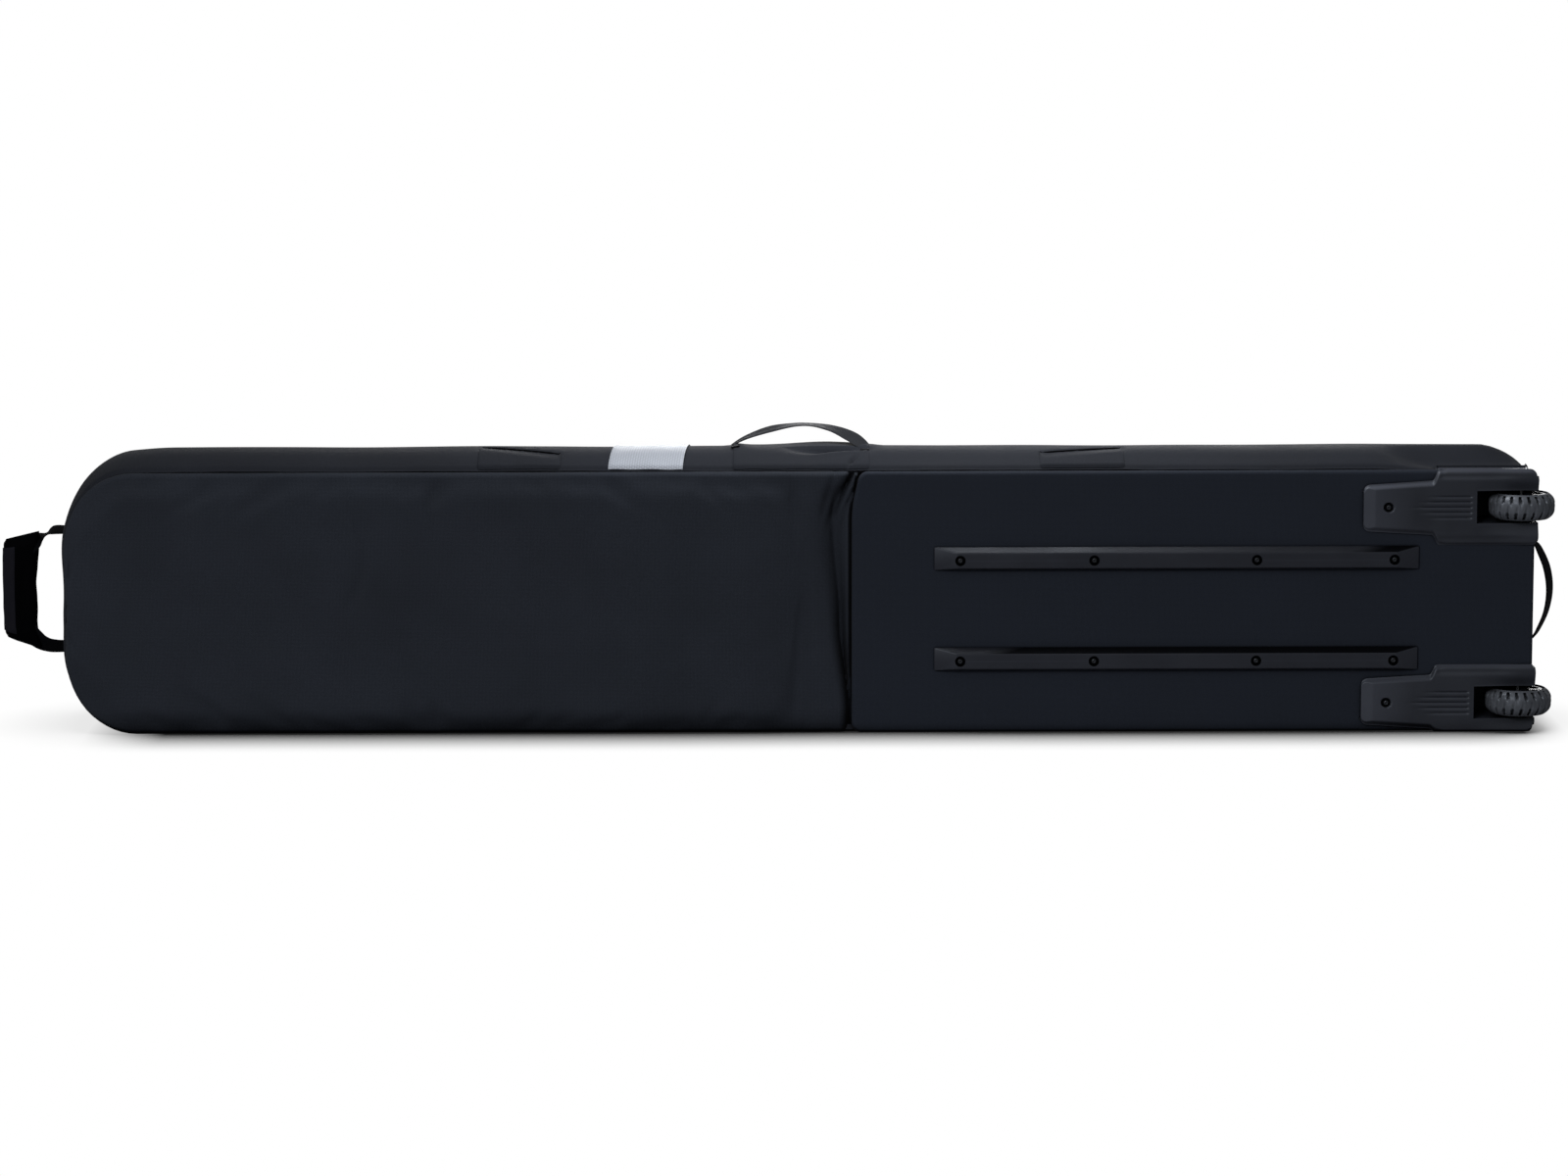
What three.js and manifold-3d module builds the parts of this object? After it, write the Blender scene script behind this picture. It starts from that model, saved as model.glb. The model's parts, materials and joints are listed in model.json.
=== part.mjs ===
// Wheeled snowboard bag standing on its long side, in millimetres.
// +X runs from the padded nose to the wheel end (the tail), +Y from the back face to the lid, +Z is up.
// The origin is the middle of the face it rests on.
import * as THREE from "three";
import { ConvexGeometry } from "three/addons/geometries/ConvexGeometry.js";
import { mergeVertices } from "three/addons/utils/BufferGeometryUtils.js";
import Module from "manifold-3d";

const wasm = await Module();
wasm.setup();

// ---------------------------------------------------------------- driving dimensions

const LENGTH = 1650; // soft body, end seam to end seam
const WIDTH = 296; // soft body, upright in this frame
const DEPTH = 180; // back face to front face
const PANEL = 12; // padded back and front panels
const WALL = 10; // padded gusset
const GAP = 0.4; // left between neighbouring pieces

const NOSE_CORNER = { x: 78, z: 95 }; // elliptic corners of the nose
const TAIL_RADIUS = { back: 22, front: 60, margin: 30 }; // opens out from one margin in depth to the other
const CROWN = 21; // how far the upper gusset bulges, midway between the back seam and the zip
const CROWN_POWER = 2.5; // flat in the middle, steep at the back seam
const END_BULGE = 12; // the same at the nose end and the tail end
const CROWN_TAIL = { from: 765, to: 832 }; // the crown runs out over the tail corner
const CROWN_NOSE = { from: -700, to: -800, loss: 0.3 }; // and loses a part of its height over the nose corner
const HELD = { fromX: 640, toX: 715, fromY: -60, toY: -20 }; // held flat beside the wheel housings

const PANEL_SEAM_X = 59; // where the soft nose half meets the stiff tail half
const LID_Y = 60; // the zip's centre line, and the lid's hinge line
const ZIP_END_Z = 70; // the zip stops this high on the nose end and on the tail end
const HARDWARE_Z = 144; // centre line of the two wheel housings
const RAIL_Z = 141; // centre line of the two runners

const WHEEL = { x: 811.5, y: -76, z: 110.6, radius: 38, width: 32 }; // z is the distance from HARDWARE_Z
const AXLE = { radius: 4, head: 7, headHeight: 2, room: 3 };
const BEARING = { outer: 11, inner: 4.6, width: 7 };
const HUB = { radius: 27, inset: 3, seatInset: 2, bore: 7 };

const HOUSING = {
  start: 630, // tip of the tongue
  step: 713, // where the tongue widens into the corner guard
  end: 828.2, // just proud of the fabric
  face: -96, // outer face of the plate
  inner: 41.5, // reach from the wheel's centre towards the middle of the bag
  wall: 3,
  sideDepth: 30, // how far the guard wraps onto the long side
  tailDepth: 66, // how far it wraps onto the tail
  tailFrom: 816, // only beyond this does it wrap that far
  screwX: 660,
};
const GROOVES = { from: 695, to: 752, count: 5, pitch: 6, width: 1.6, depth: 1 };
const WELL = { start: 758.5, half: 18.4, floor: -32 }; // the slot that the wheel turns in

const RAIL = {
  start: 152,
  end: 695,
  spacing: 57,
  width: 26,
  rise: 9,
  foot: 2,
  ramp: 25,
  bevelAbove: 7,
  bevelBelow: 3.5,
};
const RAIL_SCREW_X = [181, 331, 513, 667];
const SCREW = { head: 5, shank: 2, headHeight: 2.6, room: 0.6, railLength: 26, housingLength: 19 };
const BOARD = { thickness: 3, edge: 3, seam: 6 }; // plastic stiffener behind the tail half
const BACKING = { thickness: 3, half: 10 }; // plastic strips behind the runners
const LASH = { x: { nose: -420, tail: 330 }, width: 25, thickness: 1.6 };
const BUCKLE = { halfX: 18, halfZ: 32, depth: 8, corner: 6 };

const BACK_Y = -DEPTH / 2;
const FRONT_Y = DEPTH / 2;
const BOARD_Y = BACK_Y + PANEL + GAP;
const BACKING_Y = BOARD_Y + BOARD.thickness + GAP;
const LASH_Y = BACKING_Y + BACKING.thickness + GAP;
const FAR = 1000; // larger than anything here, for cutting boxes

// ---------------------------------------------------------------- materials

const finish = (color, roughness, metalness = 0) =>
  new THREE.MeshStandardMaterial({ color, roughness, metalness });
const MATERIAL = {
  fabric: finish(0x22252d, 0.85),
  gusset: finish(0x33363d, 0.85),
  webbing: finish(0x1b1c20, 0.8),
  grip: finish(0x0d0d10, 0.9),
  reflective: finish(0xb4b9c2, 0.45),
  plastic: finish(0x2a2c31, 0.5),
  board: finish(0x18181a, 0.6),
  tyre: finish(0x35373c, 0.45),
  hub: finish(0x1a1b1e, 0.5),
  steel: finish(0x8d9096, 0.35, 1),
  screw: finish(0x111114, 0.4, 0.6),
  zipper: finish(0x121316, 0.6),
  slider: finish(0x2b2c2f, 0.35, 0.8),
};

// ---------------------------------------------------------------- solids and cuts

function solidOf(geometry) {
  const bare = new THREE.BufferGeometry();
  bare.setAttribute("position", geometry.getAttribute("position").clone());
  bare.setIndex(geometry.getIndex());
  const merged = mergeVertices(bare, 1e-4);
  return new wasm.Manifold(
    new wasm.Mesh({
      numProp: 3,
      vertProperties: merged.getAttribute("position").array,
      triVerts: new Uint32Array(merged.getIndex().array),
    }),
  );
}

function geometryOf(solid) {
  const mesh = solid.getMesh();
  const geometry = new THREE.BufferGeometry();
  geometry.setAttribute("position", new THREE.BufferAttribute(mesh.vertProperties, 3));
  geometry.setIndex(new THREE.BufferAttribute(mesh.triVerts, 1));
  geometry.computeVertexNormals();
  return geometry;
}

function box(x0, x1, y0, y1, z0, z1) {
  const geometry = new THREE.BoxGeometry(x1 - x0, y1 - y0, z1 - z0);
  return solidOf(geometry.translate((x0 + x1) / 2, (y0 + y1) / 2, (z0 + z1) / 2));
}

// A shape drawn in (x, z), made solid between two depths.
function slab(shape, y0, y1, options = {}) {
  const bevel = options.bevelThickness ?? 0;
  const geometry = new THREE.ExtrudeGeometry(shape, {
    depth: y1 - y0 - 2 * bevel,
    bevelEnabled: bevel > 0,
    bevelSegments: 1,
    curveSegments: 4,
    ...options,
  });
  return solidOf(geometry.rotateX(Math.PI / 2).translate(0, y1 - bevel, 0));
}

// A cylinder along "y" or "z" from one coordinate to the other.
function rod(axis, radius, from, to, a, b, segments = 12) {
  const geometry = new THREE.CylinderGeometry(radius, radius, to - from, segments);
  const middle = (from + to) / 2;
  if (axis === "y") return solidOf(geometry.translate(a, middle, b));
  return solidOf(geometry.rotateX(Math.PI / 2).translate(a, b, middle));
}

// A closed profile of [radius, height] turned about +Z.
function turned(profile, segments) {
  const points = profile.map(([r, h]) => new THREE.Vector2(r, h));
  const closed = profile[0][0] > 0 ? [...points, points[0]] : points;
  return solidOf(new THREE.LatheGeometry(closed, segments).rotateX(Math.PI / 2));
}

// A closed solid through rings of points, each ring convex and of one length.
function loft(rings) {
  const count = rings[0].length;
  const ends = [rings[0], rings.at(-1)].map((ring) =>
    ring.reduce((sum, p) => sum.add(p), new THREE.Vector3()).divideScalar(count),
  );
  const index = [];
  for (let k = 0; k < count; k++) {
    const next = (k + 1) % count;
    for (let s = 0; s + 1 < rings.length; s++) {
      const row = s * count;
      index.push(row + k, row + count + next, row + next);
      index.push(row + k, row + count + k, row + count + next);
    }
    const lastRow = (rings.length - 1) * count;
    index.push(lastRow + count, k, next);
    index.push(lastRow + count + 1, lastRow + next, lastRow + k);
  }
  const geometry = new THREE.BufferGeometry().setFromPoints([...rings.flat(), ...ends]);
  return solidOf(geometry.setIndex(index));
}

// ---------------------------------------------------------------- the soft body's skin

const smooth = (a, b, t) => THREE.MathUtils.smoothstep(t, a, b);
const DEPTH_STATIONS = [-91, -84, -74, -60, -40, -15, 5, 25, 42, 52, 60, 91];
const LONG_STATIONS = [770, 715, 678, 640, 300, 0, -300, -600, -700];

function quarter(cx, cz, rx, rz, start, steps) {
  const curve = new THREE.EllipseCurve(cx, cz, rx, rz, start, start + Math.PI / 2);
  return curve.getPoints(steps);
}

// Share of the bulge at (x, y): none at the back seam and at the zip, all of it midway between them.
function bulgeShare(x, y) {
  const middle = (BACK_Y + LID_Y) / 2;
  const t = THREE.MathUtils.clamp((y - middle) / (LID_Y - middle), -1, 1);
  const share = t < 0 ? 1 - (-t) ** CROWN_POWER : 0.5 + 0.5 * Math.cos(Math.PI * t);
  const held = smooth(HELD.fromX, HELD.toX, x) * (1 - smooth(HELD.fromY, HELD.toY, y));
  return share * (1 - held);
}

function crown(x, y) {
  const tail = 1 - smooth(CROWN_TAIL.from, CROWN_TAIL.to, x);
  const nose = 1 - CROWN_NOSE.loss * smooth(-CROWN_NOSE.from, -CROWN_NOSE.to, -x);
  return CROWN * bulgeShare(x, y) * tail * nose;
}

function ring(y, inset) {
  const right = LENGTH / 2 - inset;
  const left = -right;
  const high = WIDTH - inset;
  const noseX = NOSE_CORNER.x - inset;
  const noseZ = NOSE_CORNER.z - inset;
  const open = smooth(BACK_Y + TAIL_RADIUS.margin, FRONT_Y - TAIL_RADIUS.margin, y);
  const tail = THREE.MathUtils.lerp(TAIL_RADIUS.back, TAIL_RADIUS.front, open) - inset;
  const outline = [
    ...quarter(right - tail, inset + tail, tail, tail, -Math.PI / 2, 5),
    ...quarter(right - tail, high - tail, tail, tail, 0, 5),
    ...LONG_STATIONS.slice(1).map((x) => new THREE.Vector2(x, high)),
    ...quarter(left + noseX, high - noseZ, noseX, noseZ, Math.PI / 2, 8),
    ...quarter(left + noseX, inset + noseZ, noseX, noseZ, Math.PI, 8),
    ...LONG_STATIONS.slice(1).reverse().map((x) => new THREE.Vector2(x, inset)),
  ];
  return outline.map((p) => {
    const upward = Math.max(0, (2 * p.y) / WIDTH - 1); // the side it rests on stays flat
    const lengthwise = END_BULGE * bulgeShare(p.x, y) * (p.x / (LENGTH / 2));
    return new THREE.Vector3(p.x + lengthwise, y, p.y + crown(p.x, y) * upward);
  });
}

const skins = new Map();
function skin(inset) {
  if (!skins.has(inset)) skins.set(inset, loft(DEPTH_STATIONS.map((y) => ring(y, inset))));
  return skins.get(inset);
}

// The part of the body between two insets and two depths, as a closed band all the way round.
function band(outer, inner, y0, y1) {
  return skin(outer).subtract(skin(inner)).intersect(box(-FAR, FAR, y0, y1, -FAR, FAR));
}

function panel(y0, y1) {
  return skin(0).intersect(box(-FAR, FAR, y0, y1, -FAR, FAR));
}

// ---------------------------------------------------------------- wheel housings

// side is 1 for the upper wheel and -1 for the lower one.
const wheelZ = (side) => HARDWARE_Z + side * WHEEL.z;
const edgeReach = (side) => (side > 0 ? WIDTH - wheelZ(side) : wheelZ(side));

// Builds a shape from [x, reach] pairs. Reach runs from the wheel's centre towards the bag's edge.
function housingShape(side, pairs) {
  return new THREE.Shape(pairs.map(([x, reach]) => new THREE.Vector2(x, wheelZ(side) + side * reach)));
}

function guardCorner(side, offset) {
  const radius = TAIL_RADIUS.back - offset;
  const centreX = HOUSING.end - TAIL_RADIUS.back;
  const centreReach = edgeReach(side) - TAIL_RADIUS.back;
  const arc = quarter(centreX, centreReach, radius, radius, 0, 5).reverse();
  return arc.map((p) => [p.x, p.y]);
}

function housingPlate(side) {
  const edge = edgeReach(side);
  return housingShape(side, [
    [HOUSING.start, -20],
    [HOUSING.start, 20],
    [HOUSING.start + 6, 27],
    [HOUSING.step - 3, 33],
    [HOUSING.step + 3, edge],
    ...guardCorner(side, 0),
    [HOUSING.end, -HOUSING.inner],
    [HOUSING.step + 3, -HOUSING.inner],
    [HOUSING.step - 3, -32],
    [HOUSING.start + 6, -26],
  ]);
}

// The guard's wrap round the corner: a bent strip, made thicker both ways when used to clear the fabric.
function guardStrip(side, inwards, outwards, fromX, toReach) {
  const edge = edgeReach(side);
  const path = (offset) => [
    [fromX, edge + offset],
    ...guardCorner(side, -offset),
    [HOUSING.end + offset, toReach],
  ];
  return housingShape(side, [...path(outwards), ...path(-inwards).reverse()]);
}

function guardWrap(side, inwards, outwards, spare) {
  const strip = guardStrip(side, inwards, outwards, HOUSING.step - spare, -HOUSING.inner - spare);
  const shallow = slab(strip, HOUSING.face + 2, BACK_Y + HOUSING.sideDepth + spare);
  const deep = slab(strip, HOUSING.face + 2, BACK_Y + HOUSING.tailDepth + spare);
  return shallow.add(deep.intersect(box(HOUSING.tailFrom, FAR, -FAR, FAR, -FAR, FAR)));
}

// The box that the wheel turns in, grown by spare on every side.
function wellBox(side, spare) {
  const z = wheelZ(side);
  const half = WELL.half + spare;
  return box(WELL.start - spare, HOUSING.end - 2, HOUSING.face + 2, WELL.floor + spare, z - half, z + half);
}

const AXLE_GRIP = WELL.half + HOUSING.wall + GAP; // from the wheel's middle to each head of the axle

// What the back panel, board and gussets leave free for one housing.
function housingRoom(side) {
  const z = wheelZ(side);
  const half = WELL.half + HOUSING.wall + GAP;
  const well = box(
    WELL.start - HOUSING.wall - GAP,
    FAR,
    -FAR,
    WELL.floor + HOUSING.wall + GAP,
    z - half,
    z + half,
  );
  const reach = AXLE_GRIP + AXLE.headHeight + AXLE.room;
  const axleEnds = rod("z", AXLE.head + 1, z - reach, z + reach, WHEEL.x, WHEEL.y);
  return well.add(guardWrap(side, HOUSING.wall + GAP, 40, GAP)).add(axleEnds);
}

function screwHole(x, z, y0, y1) {
  return rod("y", SCREW.shank + SCREW.room, y0, y1, x, z, 8);
}

function housing(side) {
  const z = wheelZ(side);
  const plate = slab(housingPlate(side), HOUSING.face, BACK_Y - GAP, {
    bevelThickness: 2,
    bevelSize: 2,
    bevelOffset: -2,
  });
  const wheelSlot = box(WELL.start, FAR, -FAR, WELL.floor, z - WELL.half, z + WELL.half);
  const grooves = Array.from({ length: GROOVES.count }, (_, k) => {
    const low = z + (k - (GROOVES.count - 1) / 2) * GROOVES.pitch - GROOVES.width / 2;
    return box(GROOVES.from, GROOVES.to, -FAR, HOUSING.face + GROOVES.depth, low, low + GROOVES.width);
  });
  const screwSeat = rod("y", SCREW.head + SCREW.room, -FAR, HOUSING.face + 3, HOUSING.screwX, z, 16);
  const axleHole = rod("z", AXLE.radius + GAP, z - AXLE_GRIP, z + AXLE_GRIP, WHEEL.x, WHEEL.y, 16);
  return plate
    .add(guardWrap(side, HOUSING.wall, 0, 0))
    .add(wellBox(side, HOUSING.wall))
    .subtract(wasm.Manifold.union([wheelSlot, ...grooves, screwSeat, axleHole]))
    .subtract(screwHole(HOUSING.screwX, z, -FAR, FAR));
}

// ---------------------------------------------------------------- wheels

function tyre() {
  const h = WHEEL.width / 2;
  return turned(
    [
      [HUB.radius + GAP, -h + 3],
      [31, -h],
      [35, -h + 1.2],
      [37.4, -8],
      [WHEEL.radius, 0],
      [37.4, 8],
      [35, h - 1.2],
      [31, h],
      [HUB.radius + GAP, h - 3],
    ],
    36,
  );
}

// Spool-shaped hub with a bearing seat in each side.
function hub() {
  const h = WHEEL.width / 2 - HUB.inset;
  const seat = BEARING.outer + GAP;
  const seatTop = h - HUB.seatInset;
  const seatFloor = seatTop - BEARING.width - GAP;
  return turned(
    [
      [HUB.bore, -seatFloor],
      [seat, -seatFloor],
      [seat, -seatTop],
      [16, -seatTop],
      [23, -h],
      [HUB.radius, -h],
      [HUB.radius, h],
      [23, h],
      [16, seatTop],
      [seat, seatTop],
      [seat, seatFloor],
      [HUB.bore, seatFloor],
    ],
    32,
  );
}

function bearing() {
  const h = BEARING.width / 2;
  return turned(
    [
      [BEARING.inner, -h],
      [BEARING.outer, -h],
      [BEARING.outer, h],
      [BEARING.inner, h],
    ],
    24,
  );
}

// Steel pin, riveted over on both sides of the well.
function axle() {
  const end = AXLE_GRIP + AXLE.headHeight;
  return turned(
    [
      [0, -end],
      [AXLE.head, -end],
      [AXLE.head, -AXLE_GRIP],
      [AXLE.radius, -AXLE_GRIP],
      [AXLE.radius, AXLE_GRIP],
      [AXLE.head, AXLE_GRIP],
      [AXLE.head, end],
      [0, end],
    ],
    20,
  );
}

// ---------------------------------------------------------------- runners and screws

const railZ = (side) => RAIL_Z + side * RAIL.spacing;

function rail(side) {
  const half = RAIL.width / 2;
  const z = railZ(side);
  const base = BACK_Y - GAP;
  const corners = [];
  const rectangle = (x0, x1, y, z0, z1) => {
    for (const x of [x0, x1]) for (const height of [z0, z1]) corners.push(new THREE.Vector3(x, y, height));
  };
  rectangle(RAIL.start, RAIL.end, base, z - half, z + half);
  rectangle(RAIL.start, RAIL.end, base - RAIL.foot, z - half, z + half);
  rectangle(
    RAIL.start + RAIL.ramp,
    RAIL.end - RAIL.ramp,
    base - RAIL.rise,
    z - half + RAIL.bevelBelow,
    z + half - RAIL.bevelAbove,
  );
  const holes = RAIL_SCREW_X.flatMap((x) => [
    rod("y", SCREW.head + SCREW.room, -FAR, base - RAIL.rise + 4, x, screwZ(side), 16),
    screwHole(x, screwZ(side), -FAR, FAR),
  ]);
  return solidOf(new ConvexGeometry(corners)).subtract(wasm.Manifold.union(holes));
}

// The screws stand in the middle of the runner's flat crown.
const screwZ = (side) => railZ(side) + (RAIL.bevelBelow - RAIL.bevelAbove) / 2;

// Domed head towards -Y at y = 0, shank towards +Y.
function screw(length) {
  const profile = [
    [0, -length],
    [SCREW.shank, -length],
    [SCREW.shank, -SCREW.headHeight],
    [SCREW.head, -SCREW.headHeight],
    [SCREW.head, -1],
    [SCREW.head * 0.6, 0],
    [0, 0],
  ];
  return geometryOf(turned(profile, 12)).rotateX(Math.PI / 2);
}

// Plastic strip inside the bag that the runner's screws bite into.
function railBacking(side) {
  const z = screwZ(side);
  const { thickness, half } = BACKING;
  const strip = box(RAIL.start, RAIL.end, BACKING_Y, BACKING_Y + thickness, z - half, z + half);
  const holes = RAIL_SCREW_X.map((x) => screwHole(x, screwZ(side), -FAR, FAR));
  return strip.subtract(wasm.Manifold.union(holes));
}

// ---------------------------------------------------------------- straps

// A flat strap along a path in an (x, z) plane. Its width starts out along Y, and twistAt turns it about the
// path. widthAt and twistAt take 0 at one end to 1 at the other.
function strap(path, thickness, widthAt, twistAt = () => 0, steps = 18) {
  const rings = [];
  for (let i = 0; i <= steps; i++) {
    const t = i / steps;
    const p = path.getPointAt(t);
    const tangent = path.getTangentAt(t);
    const across = new THREE.Vector3(0, widthAt(t) / 2, 0).applyAxisAngle(tangent, twistAt(t));
    const normal = tangent.clone().cross(across).setLength(thickness / 2);
    rings.push([
      p.clone().sub(across).sub(normal),
      p.clone().sub(across).add(normal),
      p.clone().add(across).add(normal),
      p.clone().add(across).sub(normal),
    ]);
  }
  return loft(rings);
}

const pinched = (ends, middle) => (t) => ends + (middle - ends) * smooth(0, 0.35, Math.min(t, 1 - t));

const curveThrough = (pairs) =>
  new THREE.CatmullRomCurve3(pairs.map(([x, z]) => new THREE.Vector3(x, 0, z)));

const HANDLE_FOOT_Z = WIDTH + CROWN + 6; // hinge height of the side handle
const NOSE_FOOT_X = -LENGTH / 2 - END_BULGE - 5;
const TAIL_FOOT_X = -NOSE_FOOT_X;
const SIDE_HANDLE = { x: 3, half: 74, rise: 17 };
const NOSE_HANDLE = { z: 157, half: 67, reach: 49, twist: Math.PI / 2 };
const NOSE_GRIP = { half: 54, width: 40, thickness: 24, slot: { width: 35, thickness: 7 } };
const TAIL_HANDLE = { z: 148, half: 54, reach: 15 };

function sideHandle() {
  const { x, half, rise } = SIDE_HANDLE;
  const foot = HANDLE_FOOT_Z;
  const path = curveThrough([
    [x - half, foot],
    [x - 0.6 * half, foot + 0.62 * rise],
    [x, foot + rise],
    [x + 0.6 * half, foot + 0.62 * rise],
    [x + half, foot],
  ]);
  return strap(path, 2.5, pinched(8, 32));
}

// The webbing turns edge-on between its sewn ends and the grip.
function noseHandleWebbing() {
  const { z, half, reach, twist } = NOSE_HANDLE;
  const path = curveThrough([
    [NOSE_FOOT_X, z - half],
    [NOSE_FOOT_X - 0.5 * reach, z - 0.99 * half],
    [NOSE_FOOT_X - 0.96 * reach, z - 0.82 * half],
    [NOSE_FOOT_X - reach, z - 0.5 * half],
    [NOSE_FOOT_X - reach, z + 0.5 * half],
    [NOSE_FOOT_X - 0.96 * reach, z + 0.82 * half],
    [NOSE_FOOT_X - 0.5 * reach, z + 0.99 * half],
    [NOSE_FOOT_X, z + half],
  ]);
  const twistAt = (t) => twist * smooth(0.02, 0.2, Math.min(t, 1 - t));
  return strap(path, 2.5, pinched(8, 30), twistAt, 32);
}

// Padded wrap folded round the webbing, as a sleeve with the webbing's slot through it.
function noseHandleGrip() {
  const { half, width, thickness, slot } = NOSE_GRIP;
  const x = NOSE_FOOT_X - NOSE_HANDLE.reach;
  const profile = new THREE.Shape();
  profile.absellipse(0, 0, width / 2, thickness / 2, 0, 2 * Math.PI);
  const geometry = new THREE.ExtrudeGeometry(profile, {
    depth: 2 * half,
    bevelEnabled: false,
    curveSegments: 6,
  });
  const body = solidOf(geometry.translate(x, 0, NOSE_HANDLE.z - half));
  const halfWidth = slot.width / 2;
  const halfSlot = slot.thickness / 2;
  return body.subtract(box(x - halfWidth, x + halfWidth, -halfSlot, halfSlot, 0, FAR));
}

function tailHandle() {
  const { z, half, reach } = TAIL_HANDLE;
  const path = curveThrough([
    [TAIL_FOOT_X, z - half],
    [TAIL_FOOT_X + 0.7 * reach, z - 0.55 * half],
    [TAIL_FOOT_X + reach, z],
    [TAIL_FOOT_X + 0.7 * reach, z + 0.55 * half],
    [TAIL_FOOT_X, z + half],
  ]);
  return strap(path, 2, pinched(7, 24));
}

// ---------------------------------------------------------------- zips

const SLIDER = { length: 18, width: 13, plate: 2, pivot: 3.4, rest: 12 }; // pivot: the bar's height over it

// In its own frame the chain runs along X and the slider stands on z = 0.
function slider() {
  const { length, width, plate, pivot } = SLIDER;
  const ear = (y) => box(-3, 3, y - 0.8, y + 0.8, plate - 0.5, plate + pivot + 2);
  const shape = new THREE.Shape([
    new THREE.Vector2(-length / 2, -width / 2 + 3),
    new THREE.Vector2(-length / 2 + 4, -width / 2),
    new THREE.Vector2(length / 2, -width / 2 + 2),
    new THREE.Vector2(length / 2, width / 2 - 2),
    new THREE.Vector2(-length / 2 + 4, width / 2),
    new THREE.Vector2(-length / 2, width / 2 - 3),
  ]);
  const base = new THREE.ExtrudeGeometry(shape, { depth: plate, bevelEnabled: false });
  const bar = rod("y", 1.2, -3.6, 3.6, 0, plate + pivot, 8);
  return solidOf(base).add(ear(-3.4)).add(ear(3.4)).add(bar);
}

// Pull tab: an eye round the slider's bar and a flat tag that points along -X.
function pull() {
  const eye = rod("y", 3, -2, 2, 0, 0, 12);
  const tag = box(-30, -1, -4.2, 4.2, -0.9, 0.9).subtract(box(-6, 0, -5, 5, -2, 2));
  const neck = box(-8, -1, -2, 2, -0.9, 0.9);
  return eye.add(tag).add(neck).subtract(rod("y", 1.9, -3, 3, 0, 0, 12));
}

const CHAIN_PROUD = 1.5; // the coil stands this far out of the gusset
const TAPE = { width: 16, thickness: 3, coil: 4 };
const aboveZipEnds = (spare) => box(-FAR, FAR, -FAR, FAR, ZIP_END_Z - spare, FAR);

// One side of the main zip: a tape let into the gusset, with half of the coil along its free edge.
function mainZipHalf(side) {
  const edge = LID_Y + (side * GAP) / 2;
  const span = (reach) => [Math.min(edge, edge + side * reach), Math.max(edge, edge + side * reach)];
  const tape = band(0, TAPE.thickness, ...span(TAPE.width));
  const coil = band(-CHAIN_PROUD, 1, ...span(TAPE.coil));
  return tape.add(coil).intersect(aboveZipEnds(0));
}

// What a gusset gives up for its half of the zip.
function zipRecess(side) {
  const start = side < 0 ? LID_Y - TAPE.width - GAP : LID_Y;
  const outside = box(-FAR, FAR, start, start + TAPE.width + GAP, -FAR, FAR);
  return outside.intersect(aboveZipEnds(GAP)).subtract(skin(TAPE.thickness + GAP));
}

// ---------------------------------------------------------------- soft body pieces

const housingRooms = wasm.Manifold.union([housingRoom(1), housingRoom(-1)]);

function screwRoom() {
  const holes = [-1, 1].flatMap((side) => [
    ...RAIL_SCREW_X.map((x) => screwHole(x, screwZ(side), -FAR, FAR)),
    screwHole(HOUSING.screwX, wheelZ(side), -FAR, FAR),
  ]);
  return wasm.Manifold.union(holes);
}

function backPanel(x0, x1) {
  return panel(BACK_Y, BACK_Y + PANEL).intersect(box(x0, x1, -FAR, FAR, -FAR, FAR));
}

function stiffenerBoard() {
  const { thickness, edge, seam } = BOARD;
  const sheet = box(PANEL_SEAM_X + seam, FAR, BOARD_Y, BOARD_Y + thickness, -FAR, FAR);
  return sheet
    .intersect(skin(WALL + edge))
    .subtract(housingRooms)
    .subtract(screwRoom());
}

const bodyGusset = band(0, WALL, BACK_Y + PANEL + GAP, LID_Y - GAP / 2)
  .subtract(zipRecess(-1))
  .subtract(housingRooms);

const GUSSET_CUT = { nose: -740, tail: 758, half: WIDTH / 2 };
const gussetPiece = (x0, x1, z0, z1) => bodyGusset.intersect(box(x0, x1, -FAR, FAR, z0, z1));

const LID_LIFT = 1; // the lid clears the ground by this
const aboveGround = box(-FAR, FAR, -FAR, FAR, LID_LIFT, FAR);

function lidGusset() {
  return band(0, WALL, LID_Y + GAP / 2, FRONT_Y - PANEL - GAP)
    .subtract(zipRecess(1))
    .intersect(aboveGround);
}

function lidPanel() {
  return panel(FRONT_Y - PANEL, FRONT_Y).intersect(aboveGround);
}

// Thin patches sewn over the top gusset, from near the back seam to their own front edge.
const PATCH_BACK_Y = -76;
const PATCHES = [
  { name: "reflective_panel", x0: -209, x1: -126, front: 42, thickness: 1, material: MATERIAL.reflective },
  { name: "side_handle_patch", x0: -73, x1: 79, front: 42, thickness: 1, material: MATERIAL.gusset },
  { name: "strap_sleeve_nose", x0: -359, x1: -267, front: 4, thickness: 2, material: MATERIAL.gusset },
  { name: "strap_sleeve_tail", x0: 271, x1: 365, front: 4, thickness: 2, material: MATERIAL.gusset },
];

function patch({ x0, x1, front, thickness }) {
  return skin(-GAP - thickness)
    .subtract(skin(-GAP))
    .intersect(box(x0, x1, PATCH_BACK_Y, front, WIDTH / 2, FAR));
}

// ---------------------------------------------------------------- front pocket

const POCKET = { x0: 110, x1: 770, z0: 28, z1: 240, rise: 12, corner: 26, slope: 14 };
const POCKET_ZIP = { x0: 126, x1: 754, z: 250, half: 8, rise: 3, rest: 16 };

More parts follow.
